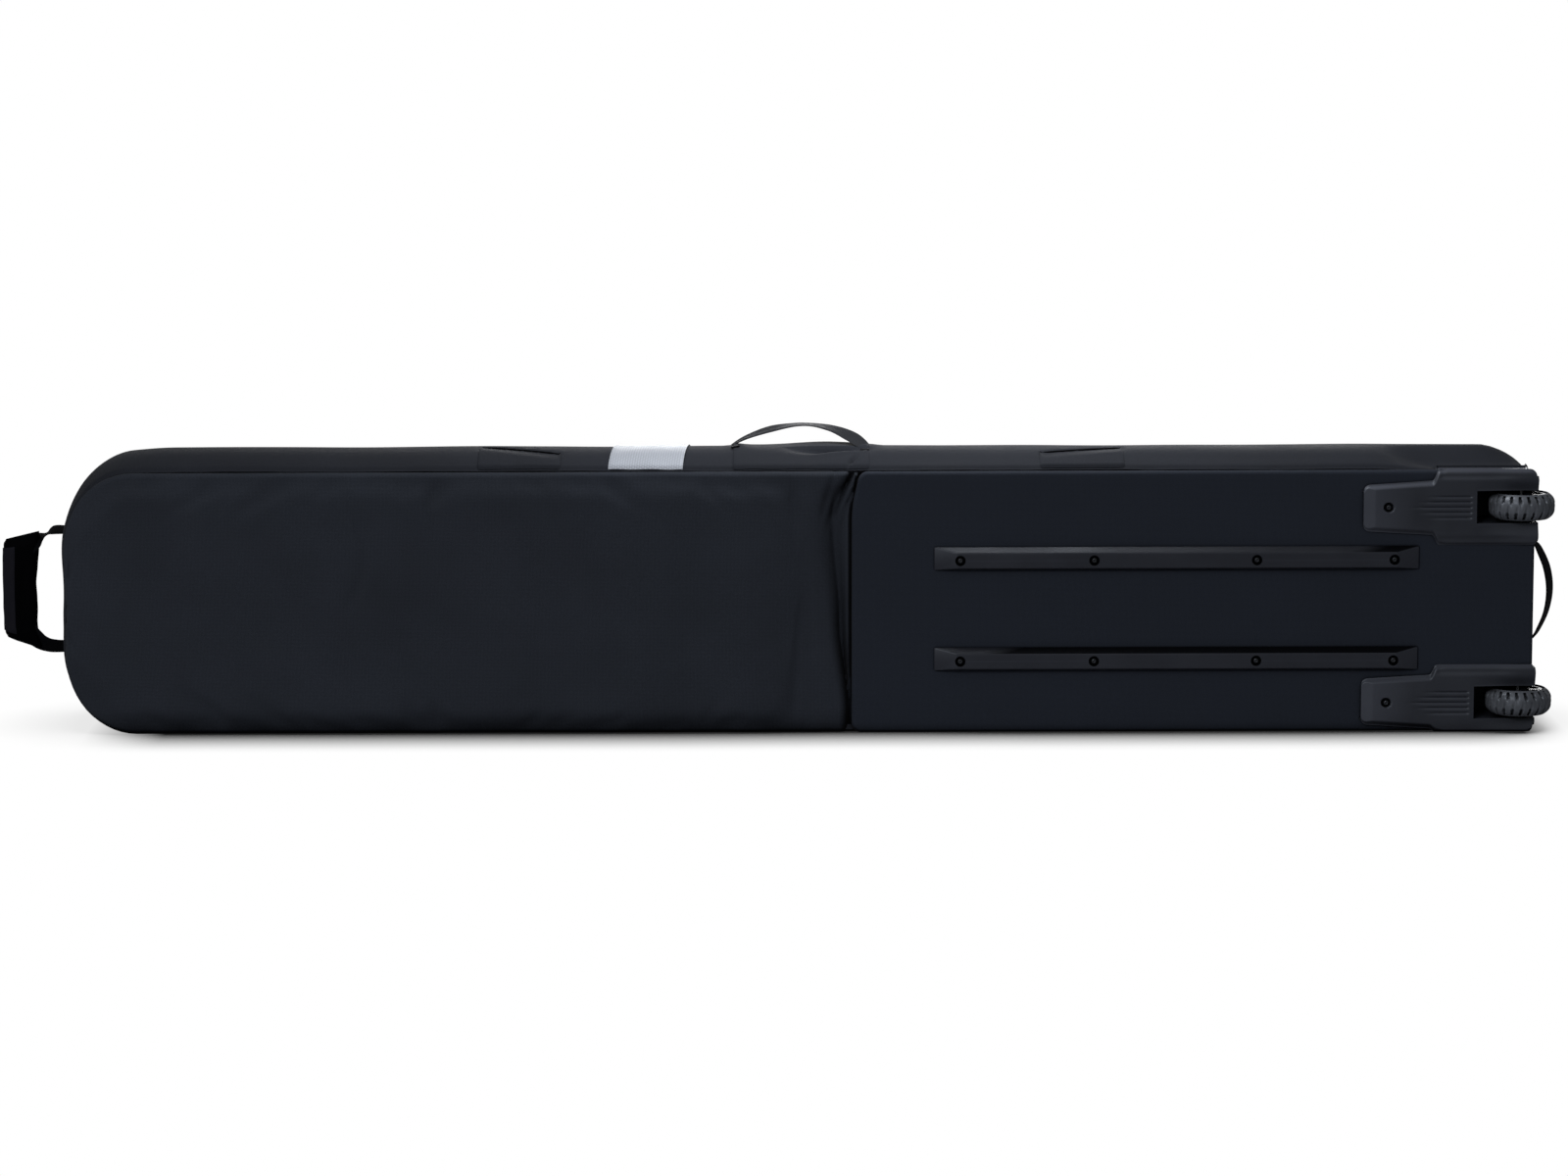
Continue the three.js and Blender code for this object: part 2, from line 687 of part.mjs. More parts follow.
function roundedRectangle(x0, x1, z0, z1, r) {
  const shape = new THREE.Shape();
  shape.moveTo(x0 + r, z0);
  shape.lineTo(x1 - r, z0).absarc(x1 - r, z0 + r, r, -Math.PI / 2, 0);
  shape.lineTo(x1, z1 - r).absarc(x1 - r, z1 - r, r, 0, Math.PI / 2);
  shape.lineTo(x0 + r, z1).absarc(x0 + r, z1 - r, r, Math.PI / 2, Math.PI);
  shape.lineTo(x0, z0 + r).absarc(x0 + r, z0 + r, r, Math.PI, 1.5 * Math.PI);
  return shape;
}

function pocketPanel() {
  const { x0, x1, z0, z1, rise, corner, slope } = POCKET;
  const low = FRONT_Y + GAP;
  return slab(roundedRectangle(x0, x1, z0, z1, corner), low, low + 2 * rise, {
    bevelThickness: rise - 1,
    bevelSize: slope,
    bevelOffset: -slope,
    bevelSegments: 3,
  }).intersect(box(-FAR, FAR, low + rise, FAR, -FAR, FAR));
}

// ---------------------------------------------------------------- inner lash straps

function lashStrap(x) {
  const half = LASH.width / 2;
  const end = WALL + 2;
  return box(x - half, x + half, LASH_Y, LASH_Y + LASH.thickness, end, WIDTH - end);
}

function lashBuckle(x) {
  const { halfX, halfZ, depth, corner } = BUCKLE;
  const low = LASH_Y + LASH.thickness + GAP;
  const outline = roundedRectangle(x - halfX, x + halfX, WIDTH / 2 - halfZ, WIDTH / 2 + halfZ, corner);
  return slab(outline, low, low + depth, {
    bevelThickness: 2,
    bevelSize: 2,
    bevelOffset: -2,
  });
}

// ---------------------------------------------------------------- assembly

const bag = new THREE.Group();

function add(name, shape, material, place = [0, 0, 0], turn = [0, 0, 0], parent = bag) {
  const mesh = new THREE.Mesh(shape.isBufferGeometry ? shape : geometryOf(shape), material);
  mesh.name = name;
  mesh.position.set(...place);
  mesh.rotation.set(...turn);
  parent.add(mesh);
}

// Soft body
const screws = screwRoom();
add("back_panel_nose", backPanel(-FAR, PANEL_SEAM_X), MATERIAL.fabric);
add(
  "back_panel_tail",
  backPanel(PANEL_SEAM_X + GAP, FAR).subtract(housingRooms).subtract(screws),
  MATERIAL.fabric,
);
add("stiffener_board", stiffenerBoard(), MATERIAL.board);
add("gusset_top", gussetPiece(GUSSET_CUT.nose, GUSSET_CUT.tail, GUSSET_CUT.half, FAR), MATERIAL.gusset);
add("gusset_bottom", gussetPiece(GUSSET_CUT.nose, GUSSET_CUT.tail, -FAR, GUSSET_CUT.half), MATERIAL.gusset);
add("gusset_nose", gussetPiece(-FAR, GUSSET_CUT.nose - GAP, -FAR, FAR), MATERIAL.gusset);
add("gusset_tail", gussetPiece(GUSSET_CUT.tail + GAP, FAR, -FAR, FAR), MATERIAL.gusset);
for (const sewn of PATCHES) add(sewn.name, patch(sewn), sewn.material);

// Handles
add("side_handle", sideHandle(), MATERIAL.webbing);
add("nose_handle_webbing", noseHandleWebbing(), MATERIAL.webbing);
add("nose_handle_grip", noseHandleGrip(), MATERIAL.grip);
add("tail_handle", tailHandle(), MATERIAL.webbing);

// Wheels, housings and runners
const bearingReach = WHEEL.width / 2 - HUB.inset - HUB.seatInset - BEARING.width / 2;
for (const [side, label] of [
  [1, "upper"],
  [-1, "lower"],
]) {
  const wheel = new THREE.Group();
  wheel.position.set(WHEEL.x, WHEEL.y, wheelZ(side));
  bag.add(wheel);
  add(`tyre_${label}`, tyre(), MATERIAL.tyre, [0, 0, 0], [0, 0, 0], wheel);
  add(`hub_${label}`, hub(), MATERIAL.hub, [0, 0, 0], [0, 0, 0], wheel);
  add(`bearing_outer_${label}`, bearing(), MATERIAL.steel, [0, 0, side * bearingReach], [0, 0, 0], wheel);
  add(`bearing_inner_${label}`, bearing(), MATERIAL.steel, [0, 0, -side * bearingReach], [0, 0, 0], wheel);
  add(`axle_${label}`, axle(), MATERIAL.steel, [0, 0, 0], [0, 0, 0], wheel);
  add(`housing_${label}`, housing(side), MATERIAL.plastic);
  add(
    `housing_screw_${label}`,
    screw(SCREW.housingLength),
    MATERIAL.screw,
    [HOUSING.screwX, HOUSING.face + 0.2, wheelZ(side)],
  );

  add(`rail_${label}`, rail(side), MATERIAL.plastic);
  add(`rail_backing_${label}`, railBacking(side), MATERIAL.board);
  const headY = BACK_Y - GAP - RAIL.rise + 1;
  RAIL_SCREW_X.forEach((x, i) =>
    add(`rail_screw_${label}_${i + 1}`, screw(SCREW.railLength), MATERIAL.screw, [x, headY, screwZ(side)]),
  );
}

// Lid, zips and pocket
add("lid_panel", lidPanel(), MATERIAL.fabric);
add("lid_gusset", lidGusset(), MATERIAL.gusset);
add("zipper_tape_body", mainZipHalf(-1), MATERIAL.zipper);
add("zipper_tape_lid", mainZipHalf(1), MATERIAL.zipper);

const chainTop = WIDTH + crown(0, LID_Y - TAPE.coil - GAP) + CHAIN_PROUD + GAP;
const chainPivot = chainTop + SLIDER.plate + SLIDER.pivot;
for (const [label, x, turn] of [
  ["nose", -SLIDER.rest, 0],
  ["tail", SLIDER.rest, Math.PI],
]) {
  add(`zipper_slider_${label}`, slider(), MATERIAL.slider, [x, LID_Y, chainTop], [0, 0, turn]);
  add(`zipper_pull_${label}`, pull(), MATERIAL.slider, [x, LID_Y, chainPivot], [0, 0, turn]);
}

add("pocket_panel", pocketPanel(), MATERIAL.fabric, [0, -POCKET.rise, 0]);
const pocketZipTop = FRONT_Y + GAP + POCKET_ZIP.rise;
add(
  "pocket_zipper",
  box(
    POCKET_ZIP.x0,
    POCKET_ZIP.x1,
    FRONT_Y + GAP,
    pocketZipTop,
    POCKET_ZIP.z - POCKET_ZIP.half,
    POCKET_ZIP.z + POCKET_ZIP.half,
  ),
  MATERIAL.zipper,
);
const pocketSliderX = POCKET_ZIP.x0 + POCKET_ZIP.rest;
const lying = [-Math.PI / 2, 0, Math.PI];
add("pocket_slider", slider(), MATERIAL.slider, [pocketSliderX, pocketZipTop + GAP, POCKET_ZIP.z], lying);
add(
  "pocket_pull",
  pull(),
  MATERIAL.slider,
  [pocketSliderX, pocketZipTop + GAP + SLIDER.plate + SLIDER.pivot, POCKET_ZIP.z],
  lying,
);

// Inside
for (const [end, x] of Object.entries(LASH.x)) {
  add(`lash_strap_${end}`, lashStrap(x), MATERIAL.webbing);
  add(`lash_buckle_${end}`, lashBuckle(x), MATERIAL.plastic);
}

export default bag;
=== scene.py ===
"""Looks of a wheeled snowboard bag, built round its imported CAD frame.

Metres. +X runs from the nose to the wheels (the tail), +Y from the back face to the lid, +Z is up.
"""

import json
import math

import bmesh
import bpy
import numpy as np
from mathutils import Matrix, Vector, noise


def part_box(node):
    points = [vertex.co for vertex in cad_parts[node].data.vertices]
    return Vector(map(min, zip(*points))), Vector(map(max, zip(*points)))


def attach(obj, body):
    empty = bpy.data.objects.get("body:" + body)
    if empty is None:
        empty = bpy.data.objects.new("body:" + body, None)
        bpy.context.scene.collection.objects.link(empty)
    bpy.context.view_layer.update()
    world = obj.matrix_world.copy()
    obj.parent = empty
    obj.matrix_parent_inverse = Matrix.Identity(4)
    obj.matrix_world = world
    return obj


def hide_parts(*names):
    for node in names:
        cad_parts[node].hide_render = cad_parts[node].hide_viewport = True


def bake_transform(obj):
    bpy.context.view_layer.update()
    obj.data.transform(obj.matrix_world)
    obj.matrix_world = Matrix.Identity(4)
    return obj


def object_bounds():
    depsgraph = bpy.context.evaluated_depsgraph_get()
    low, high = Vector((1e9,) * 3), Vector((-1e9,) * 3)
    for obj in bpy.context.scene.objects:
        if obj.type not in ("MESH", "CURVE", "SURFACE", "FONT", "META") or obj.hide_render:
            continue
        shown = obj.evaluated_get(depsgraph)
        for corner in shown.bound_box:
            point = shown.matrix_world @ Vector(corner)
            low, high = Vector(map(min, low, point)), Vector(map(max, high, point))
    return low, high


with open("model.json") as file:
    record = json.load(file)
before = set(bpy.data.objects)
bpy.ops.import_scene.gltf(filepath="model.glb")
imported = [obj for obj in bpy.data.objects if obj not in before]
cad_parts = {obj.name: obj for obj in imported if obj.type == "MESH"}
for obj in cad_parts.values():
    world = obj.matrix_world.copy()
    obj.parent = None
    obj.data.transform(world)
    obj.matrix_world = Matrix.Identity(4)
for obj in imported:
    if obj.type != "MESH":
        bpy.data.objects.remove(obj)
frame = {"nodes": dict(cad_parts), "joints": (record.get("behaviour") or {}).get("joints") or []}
CAD_LOW, CAD_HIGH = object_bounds()

for leftover in ("Cube", "Light", "Camera"):
    if leftover in bpy.data.objects and leftover not in frame["nodes"]:
        bpy.data.objects.remove(bpy.data.objects[leftover])

# ---- sizes, taken from the frame

MM = 0.001
BACK_LOW, BACK_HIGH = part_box("back_panel_tail")
TOP_LOW, TOP_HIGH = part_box("gusset_top")
JOINT = {j["name"]: j for j in frame["joints"]}

HALF_LENGTH = BACK_HIGH.x
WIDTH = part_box("housing_upper")[1].z
BACK_Y = BACK_LOW.y
FRONT_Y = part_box("lid_panel")[1].y
PANEL = BACK_HIGH.y - BACK_LOW.y
SEAM_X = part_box("back_panel_nose")[1].x
CUT_NOSE = TOP_LOW.x
CUT_TAIL = TOP_HIGH.x
CROWN = TOP_HIGH.z - WIDTH
END_BULGE = 6 * MM
LID_Y = JOINT["lid_open"]["pos_m"][1]
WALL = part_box("gusset_bottom")[1].z

NOSE_CORNER = (78 * MM, 95 * MM)
TAIL_RADIUS = (22 * MM, 60 * MM)  # at the back face and at the lid
TAIL_MARGIN = 30 * MM
CROWN_POWER = 2.5
ZIP_START_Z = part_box("zipper_tape_body")[0].z
TAPE_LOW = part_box("zipper_tape_body")[0].y
TAPE_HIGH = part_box("zipper_tape_lid")[1].y
ROLL = 6 * MM  # radius of a padded panel's edge
HOUSING_LOW, HOUSING_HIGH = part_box("housing_upper")
# where the gusset starts, tucked behind the back panels' rolled edge
SEAM_Y = BACK_Y + 6.2 * MM
WELL_HALF = 18.4 * MM
WELL_START = HOUSING_LOW.x + 128.5 * MM
# each wheel's side of the bag, up or down
SIDES = {"upper": 1, "lower": -1}
WEBBING = 1.8 * MM  # thickness of handle webbing


# ---- small maths

def smooth(a, b, t):
    t = np.clip((np.asarray(t, float) - a) / (b - a), 0, 1)
    return t * t * (3 - 2 * t)


def bump(centre, half, t):
    """1 at the centre, falling smoothly to 0 at centre +/- half."""
    return 1 - smooth(0, half, np.abs(np.asarray(t, float) - centre))


def noise_at(points, scale, seed=0.0):
    """Perlin noise at each point, the point scaled per axis (1/m)."""
    flat = (points.reshape(-1, 3) * np.asarray(scale) + seed).tolist()
    return np.array([noise.noise(p) for p in flat]).reshape(points.shape[:-1])


def unit(vectors):
    return vectors / np.maximum(np.linalg.norm(vectors, axis=-1, keepdims=True), 1e-12)


def round_off(share):
    """Share of a quarter circle's radius that is cut away, from none at 0 to all of it at 1."""
    return 1 - np.sqrt(1 - np.clip(share, 0, 1) ** 2)


def grid_normals(points):
    return unit(np.cross(np.gradient(points, axis=0), np.gradient(points, axis=1)))


def lengths(points, axis=0):
    """Length along one axis of a grid of points, from its first row."""
    steps = np.linalg.norm(np.diff(points, axis=axis), axis=-1)
    pad = [(0, 0)] * steps.ndim
    pad[axis] = (1, 0)
    return np.pad(np.cumsum(steps, axis=axis), pad)


def resample(at, s, rows):
    """Rows of values known at lengths s, read off at other lengths."""
    return np.stack([np.interp(at, s, rows[:, k]) for k in range(rows.shape[1])], -1)


def repeated(vector, count):
    return np.tile(np.array(vector, float), (count, 1))


def numbered(rows, columns):
    """The numbers of a grid's points, row after row."""
    return np.arange(rows * columns).reshape(rows, columns)


def border(number):
    """The numbers round the edge of a grid, from its first row on."""
    return np.concatenate([number[0], number[1:, -1], number[-1, -2::-1], number[-2:0:-1, 0]])


def grid_faces(rows, columns, first=0, flip=False):
    a = first + numbered(rows, columns)[:-1, :-1].ravel()
    quads = np.stack([a, a + columns, a + columns + 1, a + 1], -1)
    return quads[:, ::-1] if flip else quads


# ---- making pieces


def link(obj):
    bpy.context.scene.collection.objects.link(obj)
    return obj


def belong(obj, material, body, replaced=()):
    """Gives a piece its material and body, and hides the CAD parts it replaces. A body given as two bodies
    and the points between them only has the piece's transform baked: it joins neither body and does not bend.
    """
    obj.data.materials.clear()
    obj.data.materials.append(MATERIAL[material])
    if isinstance(body, tuple):
        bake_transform(obj)
    else:
        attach(obj, body)
    if replaced:
        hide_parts(*replaced)
    return obj


def piece(name, verts, faces, uv, material, body, replaced=(), sharp=40, merge=1e-6):
    """A mesh piece with a UV map in metres, its edges sharp from an angle in degrees."""
    mesh = bpy.data.meshes.new(name)
    mesh.from_pydata(np.asarray(verts, float).tolist(), [], [list(map(int, f)) for f in faces])
    if uv is not None:
        layer = mesh.uv_layers.new(name="UVMap")
        index = np.zeros(len(mesh.loops), np.int32)
        mesh.loops.foreach_get("vertex_index", index)
        layer.data.foreach_set("uv", np.asarray(uv, np.float32)[index].ravel())
    work = bmesh.new()
    work.from_mesh(mesh)
    bmesh.ops.remove_doubles(work, verts=work.verts, dist=merge)
    bmesh.ops.recalc_face_normals(work, faces=work.faces)
    work.to_mesh(mesh)
    work.free()
    mesh.shade_smooth()
    mesh.set_sharp_from_angle(angle=math.radians(sharp))
    return belong(link(bpy.data.objects.new(name, mesh)), material, body, replaced)


def shell(name, outer, thickness, material, body, replaced=()):
    """A closed sheet whose outer face is a grid of points, thickness measured inwards."""
    rows, columns = outer.shape[:2]
    inner = outer - grid_normals(outer) * thickness
    uv = np.stack([lengths(outer, 0), lengths(outer, 1)], -1)
    count = rows * columns
    faces = [*grid_faces(rows, columns), *grid_faces(rows, columns, count, flip=True)]
    ring = border(numbered(rows, columns))
    for a, b in zip(ring, np.roll(ring, -1)):
        faces.append((a, b, b + count, a + count))
    verts = np.concatenate([outer.reshape(-1, 3), inner.reshape(-1, 3)])
    uvs = np.concatenate([uv.reshape(-1, 2)] * 2)
    return piece(name, verts, faces, uvs, material, body, replaced)


def ring_loft(name, rings, material, body, replaced=(), sharp=40):
    """A closed solid through rings of points, shape (rings, points, 3), its ends closed by a flat fan."""
    count, around = rings.shape[:2]
    closed = np.concatenate([rings, rings[:, :1]], axis=1)
    uv = np.stack([lengths(closed, 0), lengths(closed, 1)], -1)
    faces = list(grid_faces(count, around + 1))
    verts = closed.reshape(-1, 3)
    uvs = uv.reshape(-1, 2)
    for row in (0, count - 1):
        centre = rings[row].mean(0)
        verts = np.concatenate([verts, centre[None]])
        uvs = np.concatenate([uvs, uv[row].mean(0)[None]])
        tip = len(verts) - 1
        start = row * (around + 1)
        faces += [(start + k, start + k + 1, tip) for k in range(around)]
    return piece(name, verts, faces, uvs, material, body, replaced, sharp)


def turned(profile, segments, radius_at=None):
    """Rings of a closed profile of (radius, height) turned about Z: shape (segments + 1, points, 3)."""
    angles = np.linspace(0, 2 * math.pi, segments + 1)
    r = np.array([p[0] for p in profile])[None].repeat(segments + 1, 0)
    h = np.array([p[1] for p in profile])[None].repeat(segments + 1, 0)
    if radius_at is not None:
        r = radius_at(angles[:, None], r, h)
    a = angles[:, None]
    return np.stack([r * np.cos(a), r * np.sin(a), h], -1)


def turned_piece(name, rings, place, material, body, replaced, sharp):
    """A turned solid put at a place; rings come from turned(), the profile closing on itself."""
    closed = np.concatenate([rings, rings[:, :1]], axis=1)
    uv = np.stack([lengths(closed, 0), lengths(closed, 1)], -1)
    verts = closed.reshape(-1, 3) + np.asarray(place)
    faces = grid_faces(*closed.shape[:2])
    return piece(name, verts, faces, uv.reshape(-1, 2), material, body, replaced, sharp)


def ribbon(name, centres, across, widths, thickness, material, body, replaced=(), cup=0.0):
    """Flat webbing along a path. across holds vectors along its width; cup bows it towards its face."""
    tangent = unit(np.gradient(centres, axis=0))
    across = unit(across - tangent * (across * tangent).sum(1, keepdims=True))
    normal = np.cross(tangent, across)
    steps = np.linspace(-1, 1, 9)
    rings = []
    for side in (1, -1):
        edge = np.sqrt(np.clip(1 - steps ** 8, 0, 1)) * 0.5 * thickness * side
        offset = edge + cup * (1 - steps ** 2)
        sideways = across[:, None] * (steps[None, :, None] * widths[:, None, None] / 2)
        row = centres[:, None] + sideways + normal[:, None] * offset[None, :, None]
        rings.append(row[:, ::side])
    return ring_loft(name, np.concatenate(rings, axis=1), material, body, replaced, 60)


def smooth_path(points, count):
    """A Catmull-Rom curve through points, resampled evenly. Works on columns of any width."""
    p = np.asarray(points, float)
    p = np.concatenate([2 * p[:1] - p[1:2], p, 2 * p[-1:] - p[-2:-1]])
    fine = []
    for k in range(1, len(p) - 2):
        t = np.linspace(0, 1, 24, endpoint=False)[:, None]
        a, b, c, d = p[k - 1 : k + 3]
        squared, cubed = 2 * a - 5 * b + 4 * c - d, 3 * b - a - 3 * c + d
        fine.append(0.5 * (2 * b + (c - a) * t + squared * t ** 2 + cubed * t ** 3))
    fine = np.concatenate([*fine, p[-2:-1]])
    s = lengths(fine[:, :3])
    return resample(np.linspace(0, s[-1], count), s, fine)


def cut_away(obj, work):
    """Cuts a closed bmesh out of a closed piece."""
    mesh = bpy.data.meshes.new("cutter")
    work.to_mesh(mesh)
    work.free()
    cutter = link(bpy.data.objects.new("cutter", mesh))
    change = obj.modifiers.new("cut", "BOOLEAN")
    change.operation, change.object, change.solver = "DIFFERENCE", cutter, "EXACT"
    depsgraph = bpy.context.evaluated_depsgraph_get()
    cut = bpy.data.meshes.new_from_object(obj.evaluated_get(depsgraph))
    obj.modifiers.clear()
    obj.data = cut
    bpy.data.objects.remove(cutter)


# ---- node helpers and materials

# reflections are a little blue, as under daylight lamps
COOL = (0.80, 0.88, 1.0, 1.0)
BLACK = (0.0, 0.0, 0.0, 1.0)
WHITE = (1.0, 1.0, 1.0, 1.0)
# how far the painted crevice shade looks for nearby surfaces
CREVICE_SHADE_DEPTH = 16 * MM
# open shares at which the painted crevice shade is at its darkest and at which it ends
CREVICE_SHADE_RANGE = (0.18, 0.72)


class Shader:
    """A material's node tree, with short calls for what the materials here need."""

    def __init__(self, name):
        self.material = bpy.data.materials.new(name)
        self.material.use_nodes = True
        self.tree = self.material.node_tree
        self.tree.nodes.clear()
        out = self.tree.nodes.new("ShaderNodeOutputMaterial")
        self.surface = self.tree.nodes.new("ShaderNodeBsdfPrincipled")
        self.tree.links.new(self.surface.outputs[0], out.inputs[0])

    def add(self, kind, inputs=None, output=0, **settings):
        made = self.tree.nodes.new("ShaderNode" + kind)
        for key, value in settings.items():
            setattr(made, key, value)
        for key, value in (inputs or {}).items():
            self.put(made.inputs[key], value)
        return made.outputs[output]

    def put(self, socket, value):
        if isinstance(value, bpy.types.NodeSocket):
            self.tree.links.new(value, socket)
        else:
            socket.default_value = value

    def math(self, operation, a, b=0.0, c=0.0):
        return self.add("Math", {0: a, 1: b, 2: c}, operation=operation)

    def ramp(self, value, low, high, to_low=0.0, to_high=1.0):
        keys = {"Value": value, "From Min": low, "From Max": high, "To Min": to_low, "To Max": to_high}
        return self.add("MapRange", keys)

    def mix(self, share, a, b):
        keys = {"Factor": share, 6: a, 7: b}
        return self.add("Mix", keys, output=2, data_type="RGBA")

    def axes(self, kind, output=0):
        """The x, y and z of a node's vector. A UV map's are metres along and across the piece."""
        split = self.tree.nodes.new("ShaderNodeSeparateXYZ")
        self.put(split.inputs[0], self.add(kind, output=output))
        return split.outputs

    def noise(self, scale, detail=2.0, where=None):
        where = where or self.add("TexCoord", output=3)
        return self.add("TexNoise", {"Vector": where, "Scale": scale, "Detail": detail})

    def finish(self, color, roughness, height=None, distance=0.1 * MM, strength=1.0, **extra):
        """Sets the surface. Painted shade: in crevices, found by ambient occlusion within a set depth, colour
        and shine are darkened as the open share falls.
        """
        crevice, gap = extra.pop("crevice", CREVICE_SHADE_DEPTH), extra.pop("gap", CREVICE_SHADE_RANGE)
        open_share = self.add("AmbientOcclusion", {"Distance": crevice}, output=1, samples=6)
        lit = self.ramp(open_share, *gap, 0.06, 1.0)
        shine = extra.get("Specular_IOR_Level", 0.5)
        extra["Specular_IOR_Level"] = self.math("MULTIPLY", lit, shine)
        self.put(self.surface.inputs["Base Color"], self.mix(lit, BLACK, color))
        self.put(self.surface.inputs["Roughness"], roughness)
        self.put(self.surface.inputs["Specular Tint"], COOL)
        for key, value in extra.items():
            self.put(self.surface.inputs[key.replace("_", " ")], value)
        if height is not None:
            keys = {"Height": height, "Distance": distance, "Strength": strength}
            self.put(self.surface.inputs["Normal"], self.add("Bump", keys))
        return self.material


def tone(color, gain=1.0):
    return (*(part * gain for part in color), 1.0)


def weave_height(s, pitch, kind):
    """Thread height from 0 to 1 for a plain weave, a chevron twill or ribbed webbing."""
    u, v, _ = s.axes("UVMap")
    across = s.math("MULTIPLY", u, 1 / pitch)
    along = s.math("MULTIPLY", v, 1 / pitch)
    if kind == "plain":
        warp = s.math("ABSOLUTE", s.math("SINE", s.math("MULTIPLY", across, math.pi)))
        weft = s.math("ABSOLUTE", s.math("SINE", s.math("MULTIPLY", along, math.pi)))
        turn = s.math("ADD", s.math("FLOOR", across), s.math("FLOOR", along))
        over = s.math("MODULO", s.math("ABSOLUTE", turn), 2.0)
        high = s.math("MULTIPLY", warp, over)
        return s.math("ADD", high, s.math("MULTIPLY", weft, s.math("SUBTRACT", 1.0, over)))
    if kind == "chevron":
        band = s.math("PINGPONG", along, 6.0)
        slant = s.math("ADD", across, band)
        ridge = s.math("SINE", s.math("MULTIPLY", slant, math.pi))
        return s.math("ABSOLUTE", ridge)
    ribs = s.math("SINE", s.math("MULTIPLY", across, math.pi))
    slanted = s.math("ADD", along, s.math("PINGPONG", across, 1.0))
    picks = s.math("SINE", s.math("MULTIPLY", slanted, 2 * math.pi))
    return s.math("ADD", s.math("ABSOLUTE", ribs), s.math("MULTIPLY", picks, 0.35))


def fabric(
    name, color, pitch, kind="plain", relief=0.12 * MM, rough=0.75, vary=0.25, sheen=0.03, shine=0.12, **shade_options
):
    """Woven cloth: thread height drives bump and colour, with slow stains of brightness over it."""
    s = Shader(name)
    height = weave_height(s, pitch, kind)
    patches = s.noise(9.0, 3.0)
    threads = s.noise(900.0, 1.0)
    stains = s.ramp(patches, 0.3, 0.7, 1 - vary / 2, 1 + vary / 2)
    shade = s.math("MULTIPLY", s.ramp(height, 0.0, 1.0, 0.62, 1.18), stains)
    shade = s.math("MULTIPLY", shade, s.ramp(threads, 0.3, 0.7, 0.9, 1.1))
    scaled = s.tree.nodes.new("ShaderNodeVectorMath")
    scaled.operation = "SCALE"
    scaled.inputs[0].default_value = color
    s.put(scaled.inputs["Scale"], shade)
    look = {"Sheen_Weight": sheen, "Sheen_Roughness": 0.5, "Specular_IOR_Level": shine, **shade_options}
    roughness = s.ramp(patches, 0.3, 0.7, rough - 0.06, rough + 0.08)
    return s.finish(scaled.outputs[0], roughness, height, relief, 0.6, **look)


def runner_shade(s):
    """1 on the runners' upper bevels where they lie in shade: it reaches further the lower the runner is."""
    x, _, z = s.axes("TexCoord", 3)
    reach = s.ramp(s.math("MULTIPLY_ADD", z, -3.6, x), -125 * MM, -95 * MM, 0.3, 1.0)
    return s.math("MULTIPLY", s.ramp(s.axes("NewGeometry", 1)[2], 0.3, 0.6, 0.0, 0.92), reach)


def plastic(name, color, rough=0.48, wear_and_highlight=0.5, shine=0.3, guard=False, runner=False, **shade_options):
    """Moulded plastic with a fine spark-eroded grain. Its edges are a little lighter, partly as rubbed wear
    and partly as a painted highlight.
    """
    s = Shader(name)
    clouds = s.noise(14.0, 3.0)
    # edges lighter: partly rubbed wear, partly a painted highlight
    edge = s.ramp(s.add("NewGeometry", output=7), 0.5, 0.6, 0.0, wear_and_highlight)
    base = s.mix(s.ramp(clouds, 0.3, 0.7), tone(color, 0.85), tone(color, 1.15))
    base = s.mix(edge, base, tone(color, 2.6))
    if guard:
        # painted light: lighter where the surface faces up, towards the lamp above; also lighter towards the
        # tip of the tongue
        base = s.mix(s.ramp(s.axes("NewGeometry", 1)[2], 0.30, 0.75), base, tone(color, 2.2))
        tip = HOUSING_LOW.x + 12 * MM
        base = s.mix(s.ramp(s.axes("TexCoord", 3)[0], tip, tip + 48 * MM, 0.45, 0.0), base, tone(color, 3.0))
    if runner:
        shade = runner_shade(s)
        base = s.mix(shade, base, tone(color, 0.08))
        shine = s.math("MULTIPLY", s.math("SUBTRACT", 1.0, shade), shine)
    roughness = s.ramp(clouds, 0.3, 0.7, rough - 0.06, rough + 0.08)
    return s.finish(base, roughness, s.noise(1400.0), 0.05 * MM, 0.5, Specular_IOR_Level=shine, **shade_options)


def rubber(name, color):
    """Tyre rubber, mottled, with a painted highlight on its knobs and painted shade in its grooves."""
    s = Shader(name)
    cloud = s.noise(60.0, 4.0)
    # painted highlight on the knobs and painted shade in the grooves, from pointiness
    raised = s.ramp(s.add("NewGeometry", output=7), 0.46, 0.56, 0.0, 1.0)
    base = s.mix(raised, tone(color, 0.45), tone(color, 1.5))
    mottled = s.mix(s.ramp(cloud, 0.35, 0.65, 0.0, 0.4), base, tone(color, 1.9))
    return s.finish(mottled, s.ramp(cloud, 0.3, 0.7, 0.3, 0.5), s.noise(900.0), 0.05 * MM, 0.5)


def metal(name, color, rough=0.3, metallic=1.0):
    """Metal with fine turning marks."""
    s = Shader(name)
    marks = s.noise(600.0, 3.0)
    base = s.mix(s.ramp(marks, 0.3, 0.7), tone(color, 0.85), tone(color, 1.1))
    roughness = s.ramp(marks, 0.3, 0.7, rough - 0.08, rough + 0.1)
    return s.finish(base, roughness, marks, 0.02 * MM, 0.3, Metallic=metallic)


